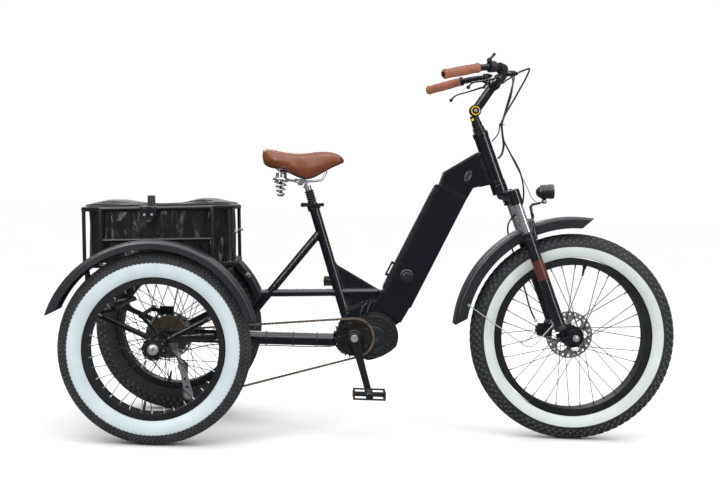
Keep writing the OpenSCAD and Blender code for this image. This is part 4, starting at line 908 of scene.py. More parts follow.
def saddle_ring(x, w, top, low, a, shrink=1.0):
    """Point at angle a of one section: a soft oval with a shallow groove along the top."""
    mid = low + (top - low) * 0.44
    c, s = math.cos(a), math.sin(a)
    y = w * shrink * math.copysign(abs(c) ** 0.8, c)
    if s >= 0:
        z = mid + (top - mid) * shrink * s ** 0.85 - 3.5 * (abs(y) / w) ** 2 * (1 - s)
        z -= 3.0 * math.exp(-(y / 9) ** 2) * max(0.0, min(1.0, (x - 315) / 40)) * max(0, min(1, (470 - x) / 60))
    else:
        z = mid - (mid - low) * shrink * abs(s) ** 0.9
    return np.array([x, y, z])


def saddle_point(x, a):
    xs = [s[0] for s in SADDLE]
    w, top, low = (np.interp(x, xs, [s[k] for s in SADDLE]) for k in (1, 2, 3))
    return saddle_ring(x, w, top, low, a)


def make_saddle():
    """Padded leather cover, its rows of stitches and the piping along its lower edge."""
    count = 72
    verts, mats = [], []
    angles = np.arange(count) * TAU / count
    for s in SADDLE:
        verts += [at(*saddle_ring(*s, a)) for a in angles]
    n = len(SADDLE)
    faces = []
    for i in range(n - 1):
        for k in range(count):
            l = (k + 1) % count
            faces.append([i * count + k, (i + 1) * count + k, (i + 1) * count + l, i * count + l])
            under = math.sin(angles[k] + TAU / count / 2) < -0.86
            mats.append(1 if under else 0)
    for end, flip_it in ((0, False), (n - 1, True)):
        ring = [end * count + k for k in range(count)]
        middle = np.mean([verts[q] for q in ring], 0) + np.array([-0.003 if end == 0 else 0.002, 0, 0])
        base = len(verts)
        inner = [middle + (np.asarray(verts[q]) - middle) * 0.5 + np.array([-0.001 if end == 0 else 0.001, 0, 0])
                 for q in ring]
        verts += inner
        verts.append(middle)
        for k in range(count):
            l = (k + 1) % count
            a, b, c, d = ring[k], ring[l], base + l, base + k
            faces.append([a, b, c, d] if not flip_it else [d, c, b, a])
            faces.append([d, c, base + count] if not flip_it else [c, d, base + count])
            mats += [0, 0]
    saddle = piece("saddle_leather", verts, faces, "saddle", MATERIALS["saddle_leather"],
                   replaces=["saddle_cover"], indices=mats, extra=(MATERIALS["soft_rubber"],))
    saddle.data.polygons.foreach_set("use_smooth", [True] * len(saddle.data.polygons))
    s = saddle.modifiers.new("smooth", "SUBSURF")
    s.levels = s.render_levels = 2

    b = Build()
    for side in (1, -1):
        for line in (0.62, 0.70):
            for x in np.arange(312, 552, 5.2):
                a = line if side > 0 else math.pi - line
                p, q = (at(*saddle_point(v, a)) for v in (x, x + 3.2))
                up = np.array([0, side * 0.5, 0.85]) * 0.0004
                b.sweep([p - up, (p * 0.65 + q * 0.35) + up, (p * 0.35 + q * 0.65) + up, q - up], 0.00055, 6)
    b.make("saddle_stitches", "saddle", THREAD, slot="saddle_leather")

    b = Build()
    rim = []
    for x in np.linspace(303, 560, 60):
        rim.append(at(*(saddle_point(x, -1.05) + np.array([0, 0.3, -0.4]))))
    other = [p * np.array([1, -1, 1]) for p in rim[::-1]]
    line = smooth_route(rim + [at(566.5, 0, 903)] + other, 2)
    b.sweep(line, 0.0017, 8)
    b.make("saddle_edge_piping", "saddle", "soft_rubber")


def coil(centre, z0, z1, r0, r1, turns, wire, build, material=0, per=26):
    """Coil spring between two heights, with flat end turns; r0 and r1 are its radii below and above."""
    steps = int(turns * per)
    points = []
    for i in range(steps + 1):
        t = i / steps
        ease = min(1, max(0, (t * turns - 0.6) / (turns - 1.2)))
        z = z0 + (z1 - z0) * ease
        r = r0 + (r1 - r0) * ease
        a = TAU * turns * t
        points.append((centre[0] + r * math.cos(a), centre[1] + r * math.sin(a), z))
    build.sweep(route(points), wire, 10, material)


def make_saddle_springs():
    """Chromed rails, coil springs with their cups, cross wire and clamp under the saddle."""
    b = Build()
    for s in (-1, 1):
        rail = [(512, s * 14, 872), (503, s * 17, 852), (492, s * 21, 841), (460, s * 22, 836), (420, s * 22, 836),
                (396, s * 23, 836), (378, s * 34, 838), (366, s * 46, 841), (358, s * 52, 845)]
        b.sweep(smooth_route(route(rail), 6), 0.0036, 12)
        c = (361, s * 55)
        coil(c, 787, 833, 8.5, 19.5, 4.4, 0.0027, b)
        b.lathe(at(c[0], c[1], 836), (0, 0, 1), [(-0.002, 0.020), (0.0, 0.0262), (0.0012, 0.027), (0.0035, 0.027),
                                               (0.006, 0.0252), (0.008, 0.017), (0.0205, 0.0168), (0.0215, 0.0155)],
                40)
        coil(c, 857, 872, 15.4, 12.5, 2.2, 0.0024, b)
        b.lathe(at(c[0], c[1], 783), (0, 0, 1), [(-0.001, 0.006), (0, 0.0085), (0.004, 0.009), (0.006, 0.007)], 20)
        b.lathe(at(c[0], c[1], 781), (0, 0, 1), [(0, 0.0034), (0.092, 0.0034)], 12, 1)
    cross = [(352, -70, 846), (347, -52, 846), (346, 0, 847), (347, 52, 846), (352, 70, 846)]
    b.sweep(smooth_route(route(cross), 6), 0.0034, 12)
    for y in (-27, 27):
        b.lathe(at(426, y, 832), (0, math.copysign(1, y), 0), [(-0.012, 0.0125), (0.002, 0.0125), (0.004, 0.0115),
                                                              (0.0045, 0.0075), (0.0085, 0.0072), (0.009, 0.005)], 6)
        x0, x1 = 405, 447
        lo, hi = min(y - 4, y + 4), max(y - 4, y + 4)
        b.block([at(x0, lo, 829.6), at(x1, lo, 829.6), at(x1, hi, 829.6), at(x0, hi, 829.6), at(x0 + 2, lo, 842.6),
                 at(x1 - 2, lo, 842.6), at(x1 - 2, hi, 842.6), at(x0 + 2, hi, 842.6)])
    b.sweep(route([(426, -33, 832), (426, 33, 832)]), 0.0078, 20, 2)
    b.make("saddle_springs", "saddle", "chromed_steel", ("dark_alloy", "silver_alloy"), replaces=["saddle_frame"])


def make_post_boot():
    """Folded rubber boot."""
    down = unit(np.array([131, 0, -390.0]))
    top = at(470, 0, 760)
    profile = []
    for i in range(5):
        s = -0.048 + 0.0083 * i
        profile += [(s, 0.0124), (s + 0.0016, 0.0136), (s + 0.0032, 0.0158), (s + 0.0046, 0.0161),
                    (s + 0.0062, 0.0142), (s + 0.0075, 0.0126)]
    profile.append((-0.0066, 0.0130))
    profile += [(-0.0066, 0.0106), (-0.048, 0.0106)]
    b = Build()
    b.lathe(top, down, profile, 48, closed=True)
    boot = b.make("post_boot_folds", "post", "soft_rubber", replaces=["seatpost_boot"])
    boot.data.polygons.foreach_set("use_smooth", [True] * len(boot.data.polygons))
    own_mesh(boot)


make_saddle()
make_saddle_springs()
make_post_boot()


# ---------- handlebar, grips and levers ----------

BAR = [(1062, 0, 1184), (1062, 46, 1184), (1082, 120, 1202), (1078, 178, 1216), (1044, 222, 1224), (984, 258, 1214),
       (868, 336, 1182)]


def mirrored(points):
    return [(x, -y, z) for x, y, z in points]


def make_bar():
    half = BAR[1:]
    line = filleted(route(mirrored(half)[::-1] + half), 0.05, 9)
    b = Build()
    b.sweep(line, 0.011, 24)
    b.lathe(at(1062, 0, 1184), (0, 1, 0), [(-0.041, 0.011), (-0.040, 0.0132), (-0.034, 0.0158), (0.034, 0.0158),
                                         (0.040, 0.0132), (0.041, 0.011)], 40)
    b.make("handlebar_tube", "bars", "dark_alloy", replaces=["handlebar"])


def make_grips():
    """Ribbed grips with an end plug and an inner collar."""
    b = Build()
    for side in (1, -1):
        start, end = (np.array(p) * (1, side, 1) for p in ((984, 258, 1214), (868, 336, 1182)))
        way = unit(end - start)
        length = np.linalg.norm(end - start) - 3
        origin = at(*(start + way * 6))
        profile = [(0.0, 0.0112), (0.0, 0.0148), (0.0012, 0.016), (0.004, 0.016), (0.0052, 0.0150)]
        s = 0.0068
        swell_from, swell_to = 0.006, length / 1000 - 0.012
        while s < swell_to:
            t = (s - swell_from) / (swell_to - swell_from)
            base = 0.0148 + 0.0010 * math.sin(math.pi * t) ** 2
            profile += [(s, base - 0.0004), (s + 0.0011, base), (s + 0.0026, base), (s + 0.0037, base - 0.0004)]
            s += 0.0046
        end_s = (length - 1) / 1000
        profile += [(end_s - 0.0075, 0.0154), (end_s - 0.006, 0.016), (end_s - 0.002, 0.016), (end_s, 0.0146),
                    (end_s, 0.0112)]
        b.lathe(origin, way, profile, 48, closed=True)
        b.lathe(origin + way * (end_s - 0.0005), way, [(0, 0.0085), (0, 0.0128), (0.0012, 0.0136), (0.0026, 0.0132),
                                                      (0.0034, 0.0112), (0.0034, 0.0085)], 40, closed=True)
        b.lathe(origin + way * -0.0022, way, [(0, 0.0112), (0, 0.0150), (0.0006, 0.0156), (0.0018, 0.0156),
                                             (0.0022, 0.0150), (0.0022, 0.0112)], 40, 1, closed=True)
    grips = b.make("grips_ribbed", "bars", "tan_grip", ("switch_plastic",), replaces=["grips"])
    grips.data.set_sharp_from_angle(angle=math.radians(60))


LEVER = [(1055, 196, 1191), (1035, 197, 1185), (1008, 222, 1176), (964, 280, 1164), (947, 300, 1147)]


def make_brake_levers():
    """Tapered blade with a ball end, a pivot boss and its pin, on each side."""
    for name, sign in (("left", 1), ("right", -1)):
        b = Build()
        p = smooth_route(route([(x, sign * y, z) for x, y, z in LEVER]), 9)
        n = len(p)
        radii = [0.0062 - 0.0022 * min(1, i / (n * 0.45)) for i in range(n)]
        b.sweep(p, radii, 20, flat=0.72)
        ball = [(0.0065 * math.sin(a), 0.0065 * math.cos(a)) for a in np.linspace(-1.45, 1.45, 14)]
        b.lathe(at(947, sign * 300, 1147), (0.4, -0.4 * sign, 1), ball, 24)
        b.lathe(at(1058, sign * 191.2, 1192), (0, sign, 0), [(0, 0.0072), (0.0006, 0.0084), (0.009, 0.0084),
                                                           (0.0096, 0.0072)], 28)
        b.lathe(at(1058, sign * 185.2, 1192), (0, sign, 0), [(-0.0004, 0.0026), (0, 0.003), (0.0216, 0.003),
                                                           (0.022, 0.0026)], 20, 1)
        b.make("brake_blade_" + name, "lever_" + name, "dark_alloy", ("silver_alloy",),
               replaces=["brake_lever_" + name])


def make_cockpit_details():
    """Clamp rings, reservoirs and screws of the brake perches, then the display's rim, glass and buttons."""
    b = Build()
    for s in (1, -1):
        b.lathe(at(1062, s * 197, 1219.8), (0.02, s * 0.9, 0.05),
                [(-0.012, 0.0172), (-0.011, 0.0179), (-0.004, 0.0179), (-0.003, 0.0172)], 40)
        pot = at(1110, s * 166, 1208)
        back = unit(np.array([-48, s * 22, -2.0]))
        b.lathe(pot, -back, [(-0.036, 0.0084), (-0.030, 0.0098), (-0.004, 0.0096), (0.0, 0.0084), (0.003, 0.006),
                             (0.008, 0.0056), (0.0095, 0.0036)], 28)
        b.bolt(at(1083, s * 178, 1214.2), (0.1, 0, 1), 0.0038, 0.0028, 1)
        b.bolt(at(1059, s * 199, 1201), (-1, 0, -0.2), 0.003, 0.0026, 1)
        for z in (1194, 1206):
            b.bolt(at(1078.3, s * 43.5, z), (1, 0, 0), 0.0026, 0.0022, 1)
    b.make("perch_details", "bars", "dark_alloy", ("silver_alloy",))

    b = Build()
    tilt = math.radians(18)
    ahead, up = np.array([math.cos(tilt), 0, math.sin(tilt)]), np.array([-math.sin(tilt), 0, math.cos(tilt)])
    corner = at(1068, -34, 1204)
    rim = []
    for a in range(48):
        t = a / 48 * TAU
        cx, cy = 0.0155 * np.sign(math.cos(t)) * abs(math.cos(t)) ** 0.35, 0.032 * np.sign(math.sin(t)) * abs(
            math.sin(t)) ** 0.35
        rim.append(corner + ahead * (0.017 + cx) + np.array([0, 0.034 + cy, 0]) + up * 0.0102)
    b.sweep(rim + rim[:1], 0.0011, 8, caps=False)
    inner = [corner + ahead * 0.017 + np.array([0, 0.034, 0]) + up * 0.0103
             + (p - corner - ahead * 0.017 - np.array([0, 0.034, 0]) - up * 0.0102) * 0.86 for p in rim]
    slab(b, inner, [p + up * 0.0006 for p in inner], 1)
    for y in (-0.009, 0.0, 0.009):
        where = corner + ahead * 0.006 + np.array([0, 0.034 + y, 0]) + up * 0.0104
        b.lathe(where, up, [(-0.001, 0.0026), (0.0010, 0.0026), (0.0016, 0.0018)], 18, 2)
    b.make("display_face", "bars", "switch_plastic", (LENS_DARK, "soft_rubber"))


def make_throttle():
    """Knurled drum and thumb paddle."""
    b = Build()
    b.lathe(at(1018, -243, 1241), (0, 1, 0), [(0, 0.0062), (0.0012, 0.0076), (0.0178, 0.0076), (0.019, 0.0062)], 32)
    for i in range(18):
        b.lathe(at(1018, -240.5, 1241) + 0.0074 * spoke(TAU * i / 18), (0, 1, 0),
                [(0, 0.0003), (0.001, 0.0008), (0.012, 0.0008), (0.013, 0.0003)], 6)
    paddle = smooth_route(route([(1018, -234, 1244), (1026, -232, 1252), (1033, -230, 1261)]), 6)
    b.sweep(paddle, np.linspace(0.0046, 0.0060, len(paddle)), 16, flat=0.7)
    b.lathe(at(1033, -230, 1261), (0.6, 0.1, 0.8), [(0.005 * math.sin(a), 0.005 * math.cos(a))
                                                 for a in np.linspace(-1.45, 1.45, 12)], 20)
    b.make("throttle_thumb", "throttle", "switch_plastic", replaces=["throttle_lever"])


def make_stem_details():
    """Rings of the stem's pivot, the bar clamp's bolts and the headset's rings."""
    b = Build()
    for s in (-1, 1):
        b.lathe(at(1003, s * 18.0, 1093), (0, s, 0), [(-0.001, 0.0150), (0.0012, 0.0152), (0.0022, 0.0146),
                                                    (0.0022, 0.0118), (-0.001, 0.0118)], 44, 0, closed=True)
        b.bolt(at(1003, s * 20, 1093), (0, s, 0), 0.0058, 0.0034, 1)
    b.lathe(at(994.5, -16.4, 1062), (0, -1, 0), [(-0.003, 0.0044), (0.0012, 0.0044), (0.002, 0.0034)], 24)
    b.make("stem_rings", "bars", YELLOW, ("silver_alloy",), slot="dark_alloy")
    b = Build()
    reach = unit(np.array([59, 0, 91.0]))
    side = np.array([-reach[2], 0, reach[0]])
    for s in (-1, 1):
        for k in (-1, 1):
            where = at(1062, s * 15, 1184) + reach * 0.0205 * 0.55 + side * k * 0.0176
            b.bolt(where, reach, 0.0034, 0.003, 0)
    b.make("stem_clamp_bolts", "bars", "silver_alloy")
    b = Build()
    for l, r, h in ((182.5, 0.0266, 0.0035), (186.5, 0.0225, 0.004), (191, 0.0205, 0.006), (198, 0.0205, 0.006)):
        b.lathe(HEAD + HEAD_UP * l / 1000, HEAD_UP,
                [(-0.0002, r - 0.001), (0.0006, r), (h - 0.0008, r), (h, r - 0.001)], 48)
    b.make("headset_rings", "steering", "dark_alloy")
    b = Build()
    b.lathe(HEAD - HEAD_UP * 0.0035, HEAD_UP, [(-0.002, 0.0258), (0, 0.027), (0.003, 0.027), (0.0042, 0.0262)], 48)
    b.make("lower_headset_ring", "steering", "dark_alloy")


# ---------- cables ----------

TOP = np.array((1094, 0, 1050))


def tube_piece(name, points, radius, body=None, ends=(False, False), winding=0.0):
    """Cable jacket along a smooth route, with crimped ferrules at the ends named and a wrap wound at a pitch."""
    line = smooth_route(route(points), 8)
    b = Build()
    b.sweep(line, radius, 12)
    for where, on in zip((0, -1), ends):
        if on:
            way = unit(line[1] - line[0]) if where == 0 else unit(line[-2] - line[-1])
            b.lathe(line[where], way, [(-0.001, radius * 1.2), (0, radius * 1.5), (0.009, radius * 1.5),
                                       (0.0105, radius * 1.15)], 16, 1)
    if winding:
        step = np.concatenate([[0], np.cumsum(np.linalg.norm(np.diff(line, axis=0), axis=1))])
        turns = int(step[-1] / winding)
        coil_points = []
        for i in range(turns * 10):
            d = step[-1] * i / (turns * 10)
            c = np.array([np.interp(d, step, line[:, k]) for k in range(3)])
            a = TAU * i / 10
            coil_points.append(c + np.array([math.cos(a), math.sin(a), 0.0]) * radius * 1.02)
        b.sweep(coil_points, radius * 0.3, 6)
    return b.make(name, body, "cable_jacket", ("silver_alloy",))


def make_cables():
    """Three lines from the bars to a clip on the stem, four on from the clip, and one bundle along the main tube."""
    hose_right = [(1116, -164, 1209), (1150, -120, 1226), (1172, -60, 1234), (1166, -20, 1206), (1134, -6, 1140),
                  (1104, -4, 1084), tuple(TOP + (0, -4, 0))]
    hose_left = [(1116, 164, 1209), (1140, 110, 1222), (1136, 50, 1210), (1122, 12, 1160), (1104, 6, 1090),
                 tuple(TOP + (0, 4, 0))]
    display = [(1098, 10, 1212), (1126, 20, 1212), (1124, 10, 1150), (1100, 3, 1076), tuple(TOP + (-6, 0, 0))]
    tops = [tube_piece("brake_hose_right", hose_right, 0.003, ends=(True, False)),
            tube_piece("brake_hose_left", hose_left, 0.003, ends=(True, False)),
            tube_piece("display_wire", display, 0.002)]
    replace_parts(tops[0], "bar_cables")
    fork_run = [tuple(TOP + (0, -4, -1)), (1102, -6, 1000), (1124, -10, 958), (1160, -12, 896), (1176, -10, 830),
                (1172, 10, 770), (1146, 44, 736), (1138, 68, 696), (1162, 72, 616), (1204, 74, 500), (1226, 72, 430),
                (1248, 62, 386)]
    port_run = [tuple(TOP + (-6, 0, -1)), (1084, 0, 1020), (1064, 0, 992)]
    wrapped = [tuple(TOP + (0, 4, -1)), (1100, 3, 1010), (1104, 2, 980), (1098, 0, 950), (1086, 0, 936)]
    lamp_run = [(1112, -8, 976), (1152, -6, 906), (1186, -8, 846), (1202, -8, 812), (1214, -4, 800), (1222, -2, 796)]
    low = [tube_piece("fork_hose", fork_run, 0.0028, ends=(False, True)),
           tube_piece("head_port_wire", port_run, 0.002),
           tube_piece("wrapped_bundle", wrapped, 0.0034, winding=0.0045),
           tube_piece("lamp_wire", lamp_run, 0.0012)]
    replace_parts(low[0], "head_cables")
    rear = [(556, -26, 286), (480, -8, 281), (400, -4, 280.4), (280, -4, 279.6), (170, -8, 278.6), (120, -24, 272),
            (84, -56, 264), (64, -68, 262), (46, -69, 261)]
    back = tube_piece("rear_wires", rear, 0.0018, "frame", ends=(True, True))
    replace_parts(back, "rear_cables")
    b = Build()
    for x, z in ((500, 281.6), (420, 280.6), (330, 280), (220, 279)):
        tie = [at(x, 24.4 * math.cos(a), z + 24.9 + 24.4 * math.sin(a)) for a in np.linspace(0, TAU, 40)]
        strip(b, tie, (1, 0, 0.01), 0.0017, 0.0009)
    b.make("cable_ties", "frame", "switch_plastic")
    b = Build()
    tie = [at(1095 + 9 * math.cos(a), 9.5 * math.sin(a), 1050) for a in np.linspace(0, TAU, 30)]
    b.sweep(tie, 0.0014, 8, caps=False)
    b.make("hose_clip", "steering", "switch_plastic")
    for o, a, c, s, e in ((tops[0], "bars", "steering", (1134, -6, 1140), (1104, -4, 1070)),
                          (tops[1], "bars", "steering", (1122, 12, 1160), (1104, 6, 1070)),
                          (tops[2], "bars", "steering", (1124, 10, 1150), (1100, 3, 1066)),
                          (low[0], "steering", "fork", (1176, -10, 830), (1146, 44, 736)),
                          (low[3], "steering", "fork", (1152, -6, 906), (1202, -8, 812))):
        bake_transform(o)
    for o, s, e in ((low[1], (1088, 0, 1046), (1066, 0, 994)), (low[2], (1094, 4, 1046), (1088, 0, 940))):
        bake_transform(o)


make_bar()
make_grips()
make_brake_levers()
make_cockpit_details()
make_throttle()
make_stem_details()
make_cables()


# ---------- drive ----------

BB, AXLE = np.array((624.0, 320.0)), np.array((0.0, 299.0))
JOCKEY_UP, JOCKEY_LOW = np.array((54.0, 205.0)), np.array((80.0, 112.0))
RING_R, COG_R, JOCKEY_R = 65.0, 25.0, 18.0


def tangent(a, ra, b, rb, side):
    """Both ends of the straight run that touches two circles; a negative radius turns the other way."""
    d = b - a
    turn = math.atan2(d[1], d[0]) + side * math.acos((ra - rb) / np.linalg.norm(d))
    n = np.array((math.cos(turn), math.sin(turn)))
    return a + n * ra, b + n * rb


def arc(middle, r, start, end, clockwise):
    """Points between start and end on a circle."""
    a0, a1 = (math.atan2(*(p - middle)[::-1]) for p in (start, end))
    while clockwise and a1 > a0:
        a1 -= TAU
    while not clockwise and a1 < a0:
        a1 += TAU
    steps = max(4, int(abs(a1 - a0) * 24))
    return [middle + r * np.array((math.cos(a), math.sin(a))) for a in np.linspace(a0, a1, steps)[1:-1]]


def chain_path():
    """The chain's pitch line over chainring, jockey wheels and cog, as x and z."""
    top, low = tangent(AXLE, COG_R, BB, RING_R, 1), tangent(JOCKEY_LOW, JOCKEY_R, BB, RING_R, -1)
    back = tangent(JOCKEY_LOW, JOCKEY_R, JOCKEY_UP, -JOCKEY_R, 1)
    lift = tangent(JOCKEY_UP, JOCKEY_R, AXLE, -COG_R, -1)
    p = [top[0], top[1]] + arc(BB, RING_R, top[1], low[1], True) + [low[1], low[0]]
    p += arc(JOCKEY_LOW, JOCKEY_R, low[0], back[0], True) + [back[0], back[1]]
    p += arc(JOCKEY_UP, JOCKEY_R, back[1], lift[0], False) + [lift[0], lift[1]]
    p += arc(AXLE, COG_R, lift[1], top[0], True) + [top[0]]
    return np.array(p)


def make_chain():
    """Inner and outer plates, rollers and pins, a pair of links at a time."""
    p = chain_path()
    length = np.concatenate([[0], np.cumsum(np.linalg.norm(np.diff(p, axis=0), axis=1))])
    links = 2 * round(length[-1] / 12.7 / 2)
    pins = np.linspace(0, length[-1], links + 1)
    pin = np.stack([np.interp(pins, length, p[:, k]) for k in (0, 1)], 1)
    b = Build()
    for i in range(links):
        a, c = pin[i], pin[i + 1]
        way = (c - a) / np.linalg.norm(c - a)
        across = np.array((-way[1], way[0]))
        outer = i % 2
        for s in (-1, 1):
            y0 = -50 + s * (2.75 if outer else 1.85)
            y1 = y0 + s * 0.7
            ring = []
            for t in np.linspace(math.pi / 2, 3 * math.pi / 2, 6):
                ring.append(a + 4.0 * (math.cos(t) * way + math.sin(t) * across))
            ring.append((a + c) / 2 - 2.9 * across)
            for t in np.linspace(-math.pi / 2, math.pi / 2, 6):
                ring.append(c + 4.0 * (math.cos(t) * way + math.sin(t) * across))
            ring.append((a + c) / 2 + 2.9 * across)
            slab(b, *([at(q[0], y, q[1]) for q in ring] for y in (y0, y1)), outer)
        b.lathe(at(a[0], -51.6, a[1]), (0, 1, 0), [(0, 0.0034), (0.0032, 0.0034)], 10)
        b.lathe(at(a[0], -53.45, a[1]), (0, 1, 0),
                [(0, 0.0012), (0.0002, 0.0016), (0.0067, 0.0016), (0.0069, 0.0012)], 8, 1)
    chain = b.make("chain_links", None, "chain_steel", ("sprocket_steel",), replaces=["chain"])
    chain.data.set_sharp_from_angle(angle=math.radians(40))
    way = np.array((-0.6, -0.8))
    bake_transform(chain)


def crank(name, direction, y0, y1, body):
    """Forged arm: waisted between its two bosses, with rounded edges and a shallow channel outside."""
    root, tip = at(BB[0], 0, BB[1]), at(BB[0] + 184 * direction[0], 0, BB[1] + 184 * direction[1])
    way = unit(tip - root)
    side = np.cross(way, (0, 1, 0))
    outside = 1 if y1 > 0 else -1
    mid_y = (y0 + y1) / 2000
    b = Build()
    rings, sides = 30, 24
    verts = []
    for i in range(rings):
        t = i / (rings - 1)
        half = (17 - 5.5 * t - 2.0 * math.sin(math.pi * t)) / 1000
        deep = (6.9 - 0.8 * math.sin(math.pi * t)) / 1000
        for k in range(sides):
            a = TAU * k / sides
            c, s = math.cos(a), math.sin(a)
            u = half * math.copysign(abs(c) ** 0.55, c)
            v = deep * math.copysign(abs(s) ** 0.55, s)
            if s * outside > 0.5 and 0.16 < t < 0.84:
                v -= outside * 0.0016 * math.exp(-(u / (half * 0.45)) ** 4)
            verts.append(root + (tip - root) * t + side * u + np.array([0, mid_y + v, 0]))
    b.add(verts, [f[::-1] for f in grid_faces(rings, sides)]
          + [list(range(sides)), [(rings - 1) * sides + k for k in range(sides)][::-1]])
    for centre, r in ((root, 0.0199), (tip, 0.0139)):
        start = centre + np.array([0, y0 / 1000, 0])
        depth = (y1 - y0) / 1000
        b.lathe(start, (0, 1, 0), [(0, r - 0.0016), (0.0005, r - 0.0006), (0.0016, r), (depth - 0.0016, r),
                                   (depth - 0.0005, r - 0.0006), (depth, r - 0.0016)], 48)
    b.lathe(root + np.array([0, (y1 if outside > 0 else y0) / 1000, 0]), (0, outside, 0),
            [(-0.001, 0.0122), (0.0012, 0.0122), (0.0022, 0.0112), (0.0022, 0.0052), (0.0004, 0.0046)], 32, 1)
    b.lathe(tip + np.array([0, (y1 if outside > 0 else y0) / 1000, 0]), (0, outside, 0),
            [(-0.0004, 0.0086), (0.0008, 0.0082), (0.0010, 0.0042), (0.0002, 0.0038)], 28, 1)
    return b.make(name, body, "dark_alloy", ("silver_alloy",))


def make_drive():
    """Crank arms, chainring bolts, and each pedal's pins, reflectors and end cap."""
    c, s = math.cos(math.radians(17)), math.sin(math.radians(17))
    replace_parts(crank("crank_arm_right", (s, -c), -80, -66, "cranks"), "crank_right")
    crank("crank_arm_left", (-s, c), 66, 80, "cranks")
    b = Build()
    for i in range(5):
        b.lathe(at(BB[0], -52, BB[1]) + 0.050 * spoke(math.radians(36 + 72 * i)), (0, -1, 0),
                [(-0.0006, 0.0048), (0.0012, 0.0048), (0.0018, 0.0040), (0.0018, 0.0022), (0.0006, 0.0020)], 20)
    b.lathe(at(BB[0], -52.2, BB[1]), (0, -1, 0), [(-0.0003, 0.0262), (0.002, 0.0262), (0.0035, 0.0245),
                                                (0.0035, 0.0180), (-0.0003, 0.0180)], 48, 1, closed=True)
    b.make("ring_bolts", "cranks", "dark_alloy", extra=("dark_alloy",))
    for name, sign in (("right", 1), ("left", -1)):
        tip = (BB[0] + sign * 184 * s, BB[1] - sign * 184 * c)
        b = Build()
        ys = (-96, -112, -130, -148, -164) if sign > 0 else (96, 112, 130, 148, 164)
        for x in (-50, 50):
            for y in ys:
                for way in (1, -1):
                    b.lathe(at(tip[0] + x, y, tip[1] + 13.2 * way), (0, 0, way),
                            [(0, 0.0026), (0.0014, 0.0024), (0.0032, 0.0015), (0.0034, 0.0008)], 10)
        for x in (-53.2, 53.2):
            mid = -130 if sign > 0 else 130
            edge = [at(tip[0] + x, mid + u, tip[1] + v) for u, v in ((-24, -8), (24, -8), (24, 8), (-24, 8))]
            out = [p + np.array([math.copysign(0.0016, x), 0, 0]) for p in edge]
            b.block(edge + out if x > 0 else out + edge, 1)
        outer = -176 if sign > 0 else 176
        b.lathe(at(tip[0], outer, tip[1]), (0, -sign, 0), [(-0.002, 0.0112), (0.0004, 0.0112), (0.0016, 0.0094),
                                                          (0.0018, 0.003)], 30)
        b.make("pedal_%s_pins" % name, name + "_pedal", "dark_alloy", (AMBER,))


def make_motor_details():
    """Ribbed covers of the motor and of its crank housing, the fins behind, two leads and the cradle's bolts."""
    b = Build()
    motor, crank_axis = at(690, 0, 325), at(BB[0], 0, BB[1])
    raised = ((0.0, -1.7), (0.0014, -1.5), (0.0022, -0.6), (0.0022, 0.6), (0.0014, 1.5), (0.0, 1.7))
    low = ((0.0, -1.5), (0.0014, -1.0), (0.0014, 1.0), (0.0, 1.5))
    cap = [(0, 0.036), (0.0030, 0.0345), (0.0042, 0.030), (0.0042, 0.012), (0.0034, 0.0105), (0.0034, 0.001)]
    for way, motor_face, crank_face in ((-1, -43.9, -39.9), (1, 57.9, 45.9)):
        outside = np.array((0, way, 0))
        face = motor + np.array((0, motor_face / 1000, 0))
        for r in (69, 45):
            b.lathe(face, outside, [(h, (r + w) / 1000) for h, w in raised], 120, closed=True)
        b.lathe(face, outside, cap, 64)
        for i in range(28):
            a = TAU * (i + 0.5) / 28
            out = spoke(a)
            side = np.cross(out, (0, 1, 0)) * 0.0016
            foot = [face + out * r + side * s for r, s in ((0.0462, -1), (0.0676, -1), (0.0676, 1), (0.0462, 1))]
            b.block(foot + [p + outside * 0.0024 for p in foot])
        for i in range(7):
            a = math.radians(20 + 51.4 * i)
            b.bolt(face + outside * 0.0001 + 0.056 * spoke(a), outside, 0.0046, 0.0038, 1)
        for r in (56, 48, 40):
            b.lathe(crank_axis + np.array((0, crank_face / 1000, 0)), outside,
                    [(h, (r + w) / 1000) for h, w in low], 100, closed=True)
    for i in range(9):
        way = spoke(-math.radians(121 + 14 * i))
        foot = crank_axis + way * 0.0605
        side = np.cross(way, (0, 1, 0))
        quad = [foot + side * u + np.array([0, v, 0]) for u, v in
                ((-0.0012, -0.036), (0.0012, -0.036), (0.0012, 0.038), (-0.0012, 0.038))]
        b.block(quad + [p + way * 0.0086 for p in quad])
    b.make("motor_ribs", "frame", "motor_case", ("dark_alloy",))
    b = Build()
    for radius, lead in ((0.0032, [(664, -31, 436), (650, -40, 424), (644, -47, 408), (640, -46, 392)]),
                         (0.0026, [(676, -31, 440), (668, -42, 424), (664, -48, 406), (662, -46, 388)])):
        b.sweep(smooth_route(route(lead), 8), radius, 12)
    b.make("motor_leads", "frame", "cable_jacket")
    b = Build()
    for x, z in ((648, 436), (664, 442), (694, 443), (742, 400), (586, 376), (600, 398)):
        for s in (-1, 1):
            b.bolt(at(x, s * 30, z), (0, s, 0), 0.0052, 0.0042)
    for x, z in ((672, 447), (690, 428)):
        b.bolt(at(x, -30, z), (0, -1, 0), 0.0042, 0.006)
    b.make("cradle_bolts", "frame", "dark_alloy")


def bead(b, where, axis, r, size=0.0019):
    """Rippled weld bead around a tube."""
    where, axis = np.asarray(where), unit(axis)
    helper = np.array((0, 1.0, 0)) if abs(axis[1]) < 0.9 else np.array((1.0, 0, 0))
    u = unit(np.cross(axis, helper))
    v = np.cross(axis, u)
    n = 72
    ring = [where + r * (math.cos(a) * u + math.sin(a) * v) for a in np.arange(n + 1) * TAU / n]
    b.sweep(ring, [size * (1 + 0.14 * math.sin(i * 2.1)) for i in range(n + 1)], 8, caps=False)


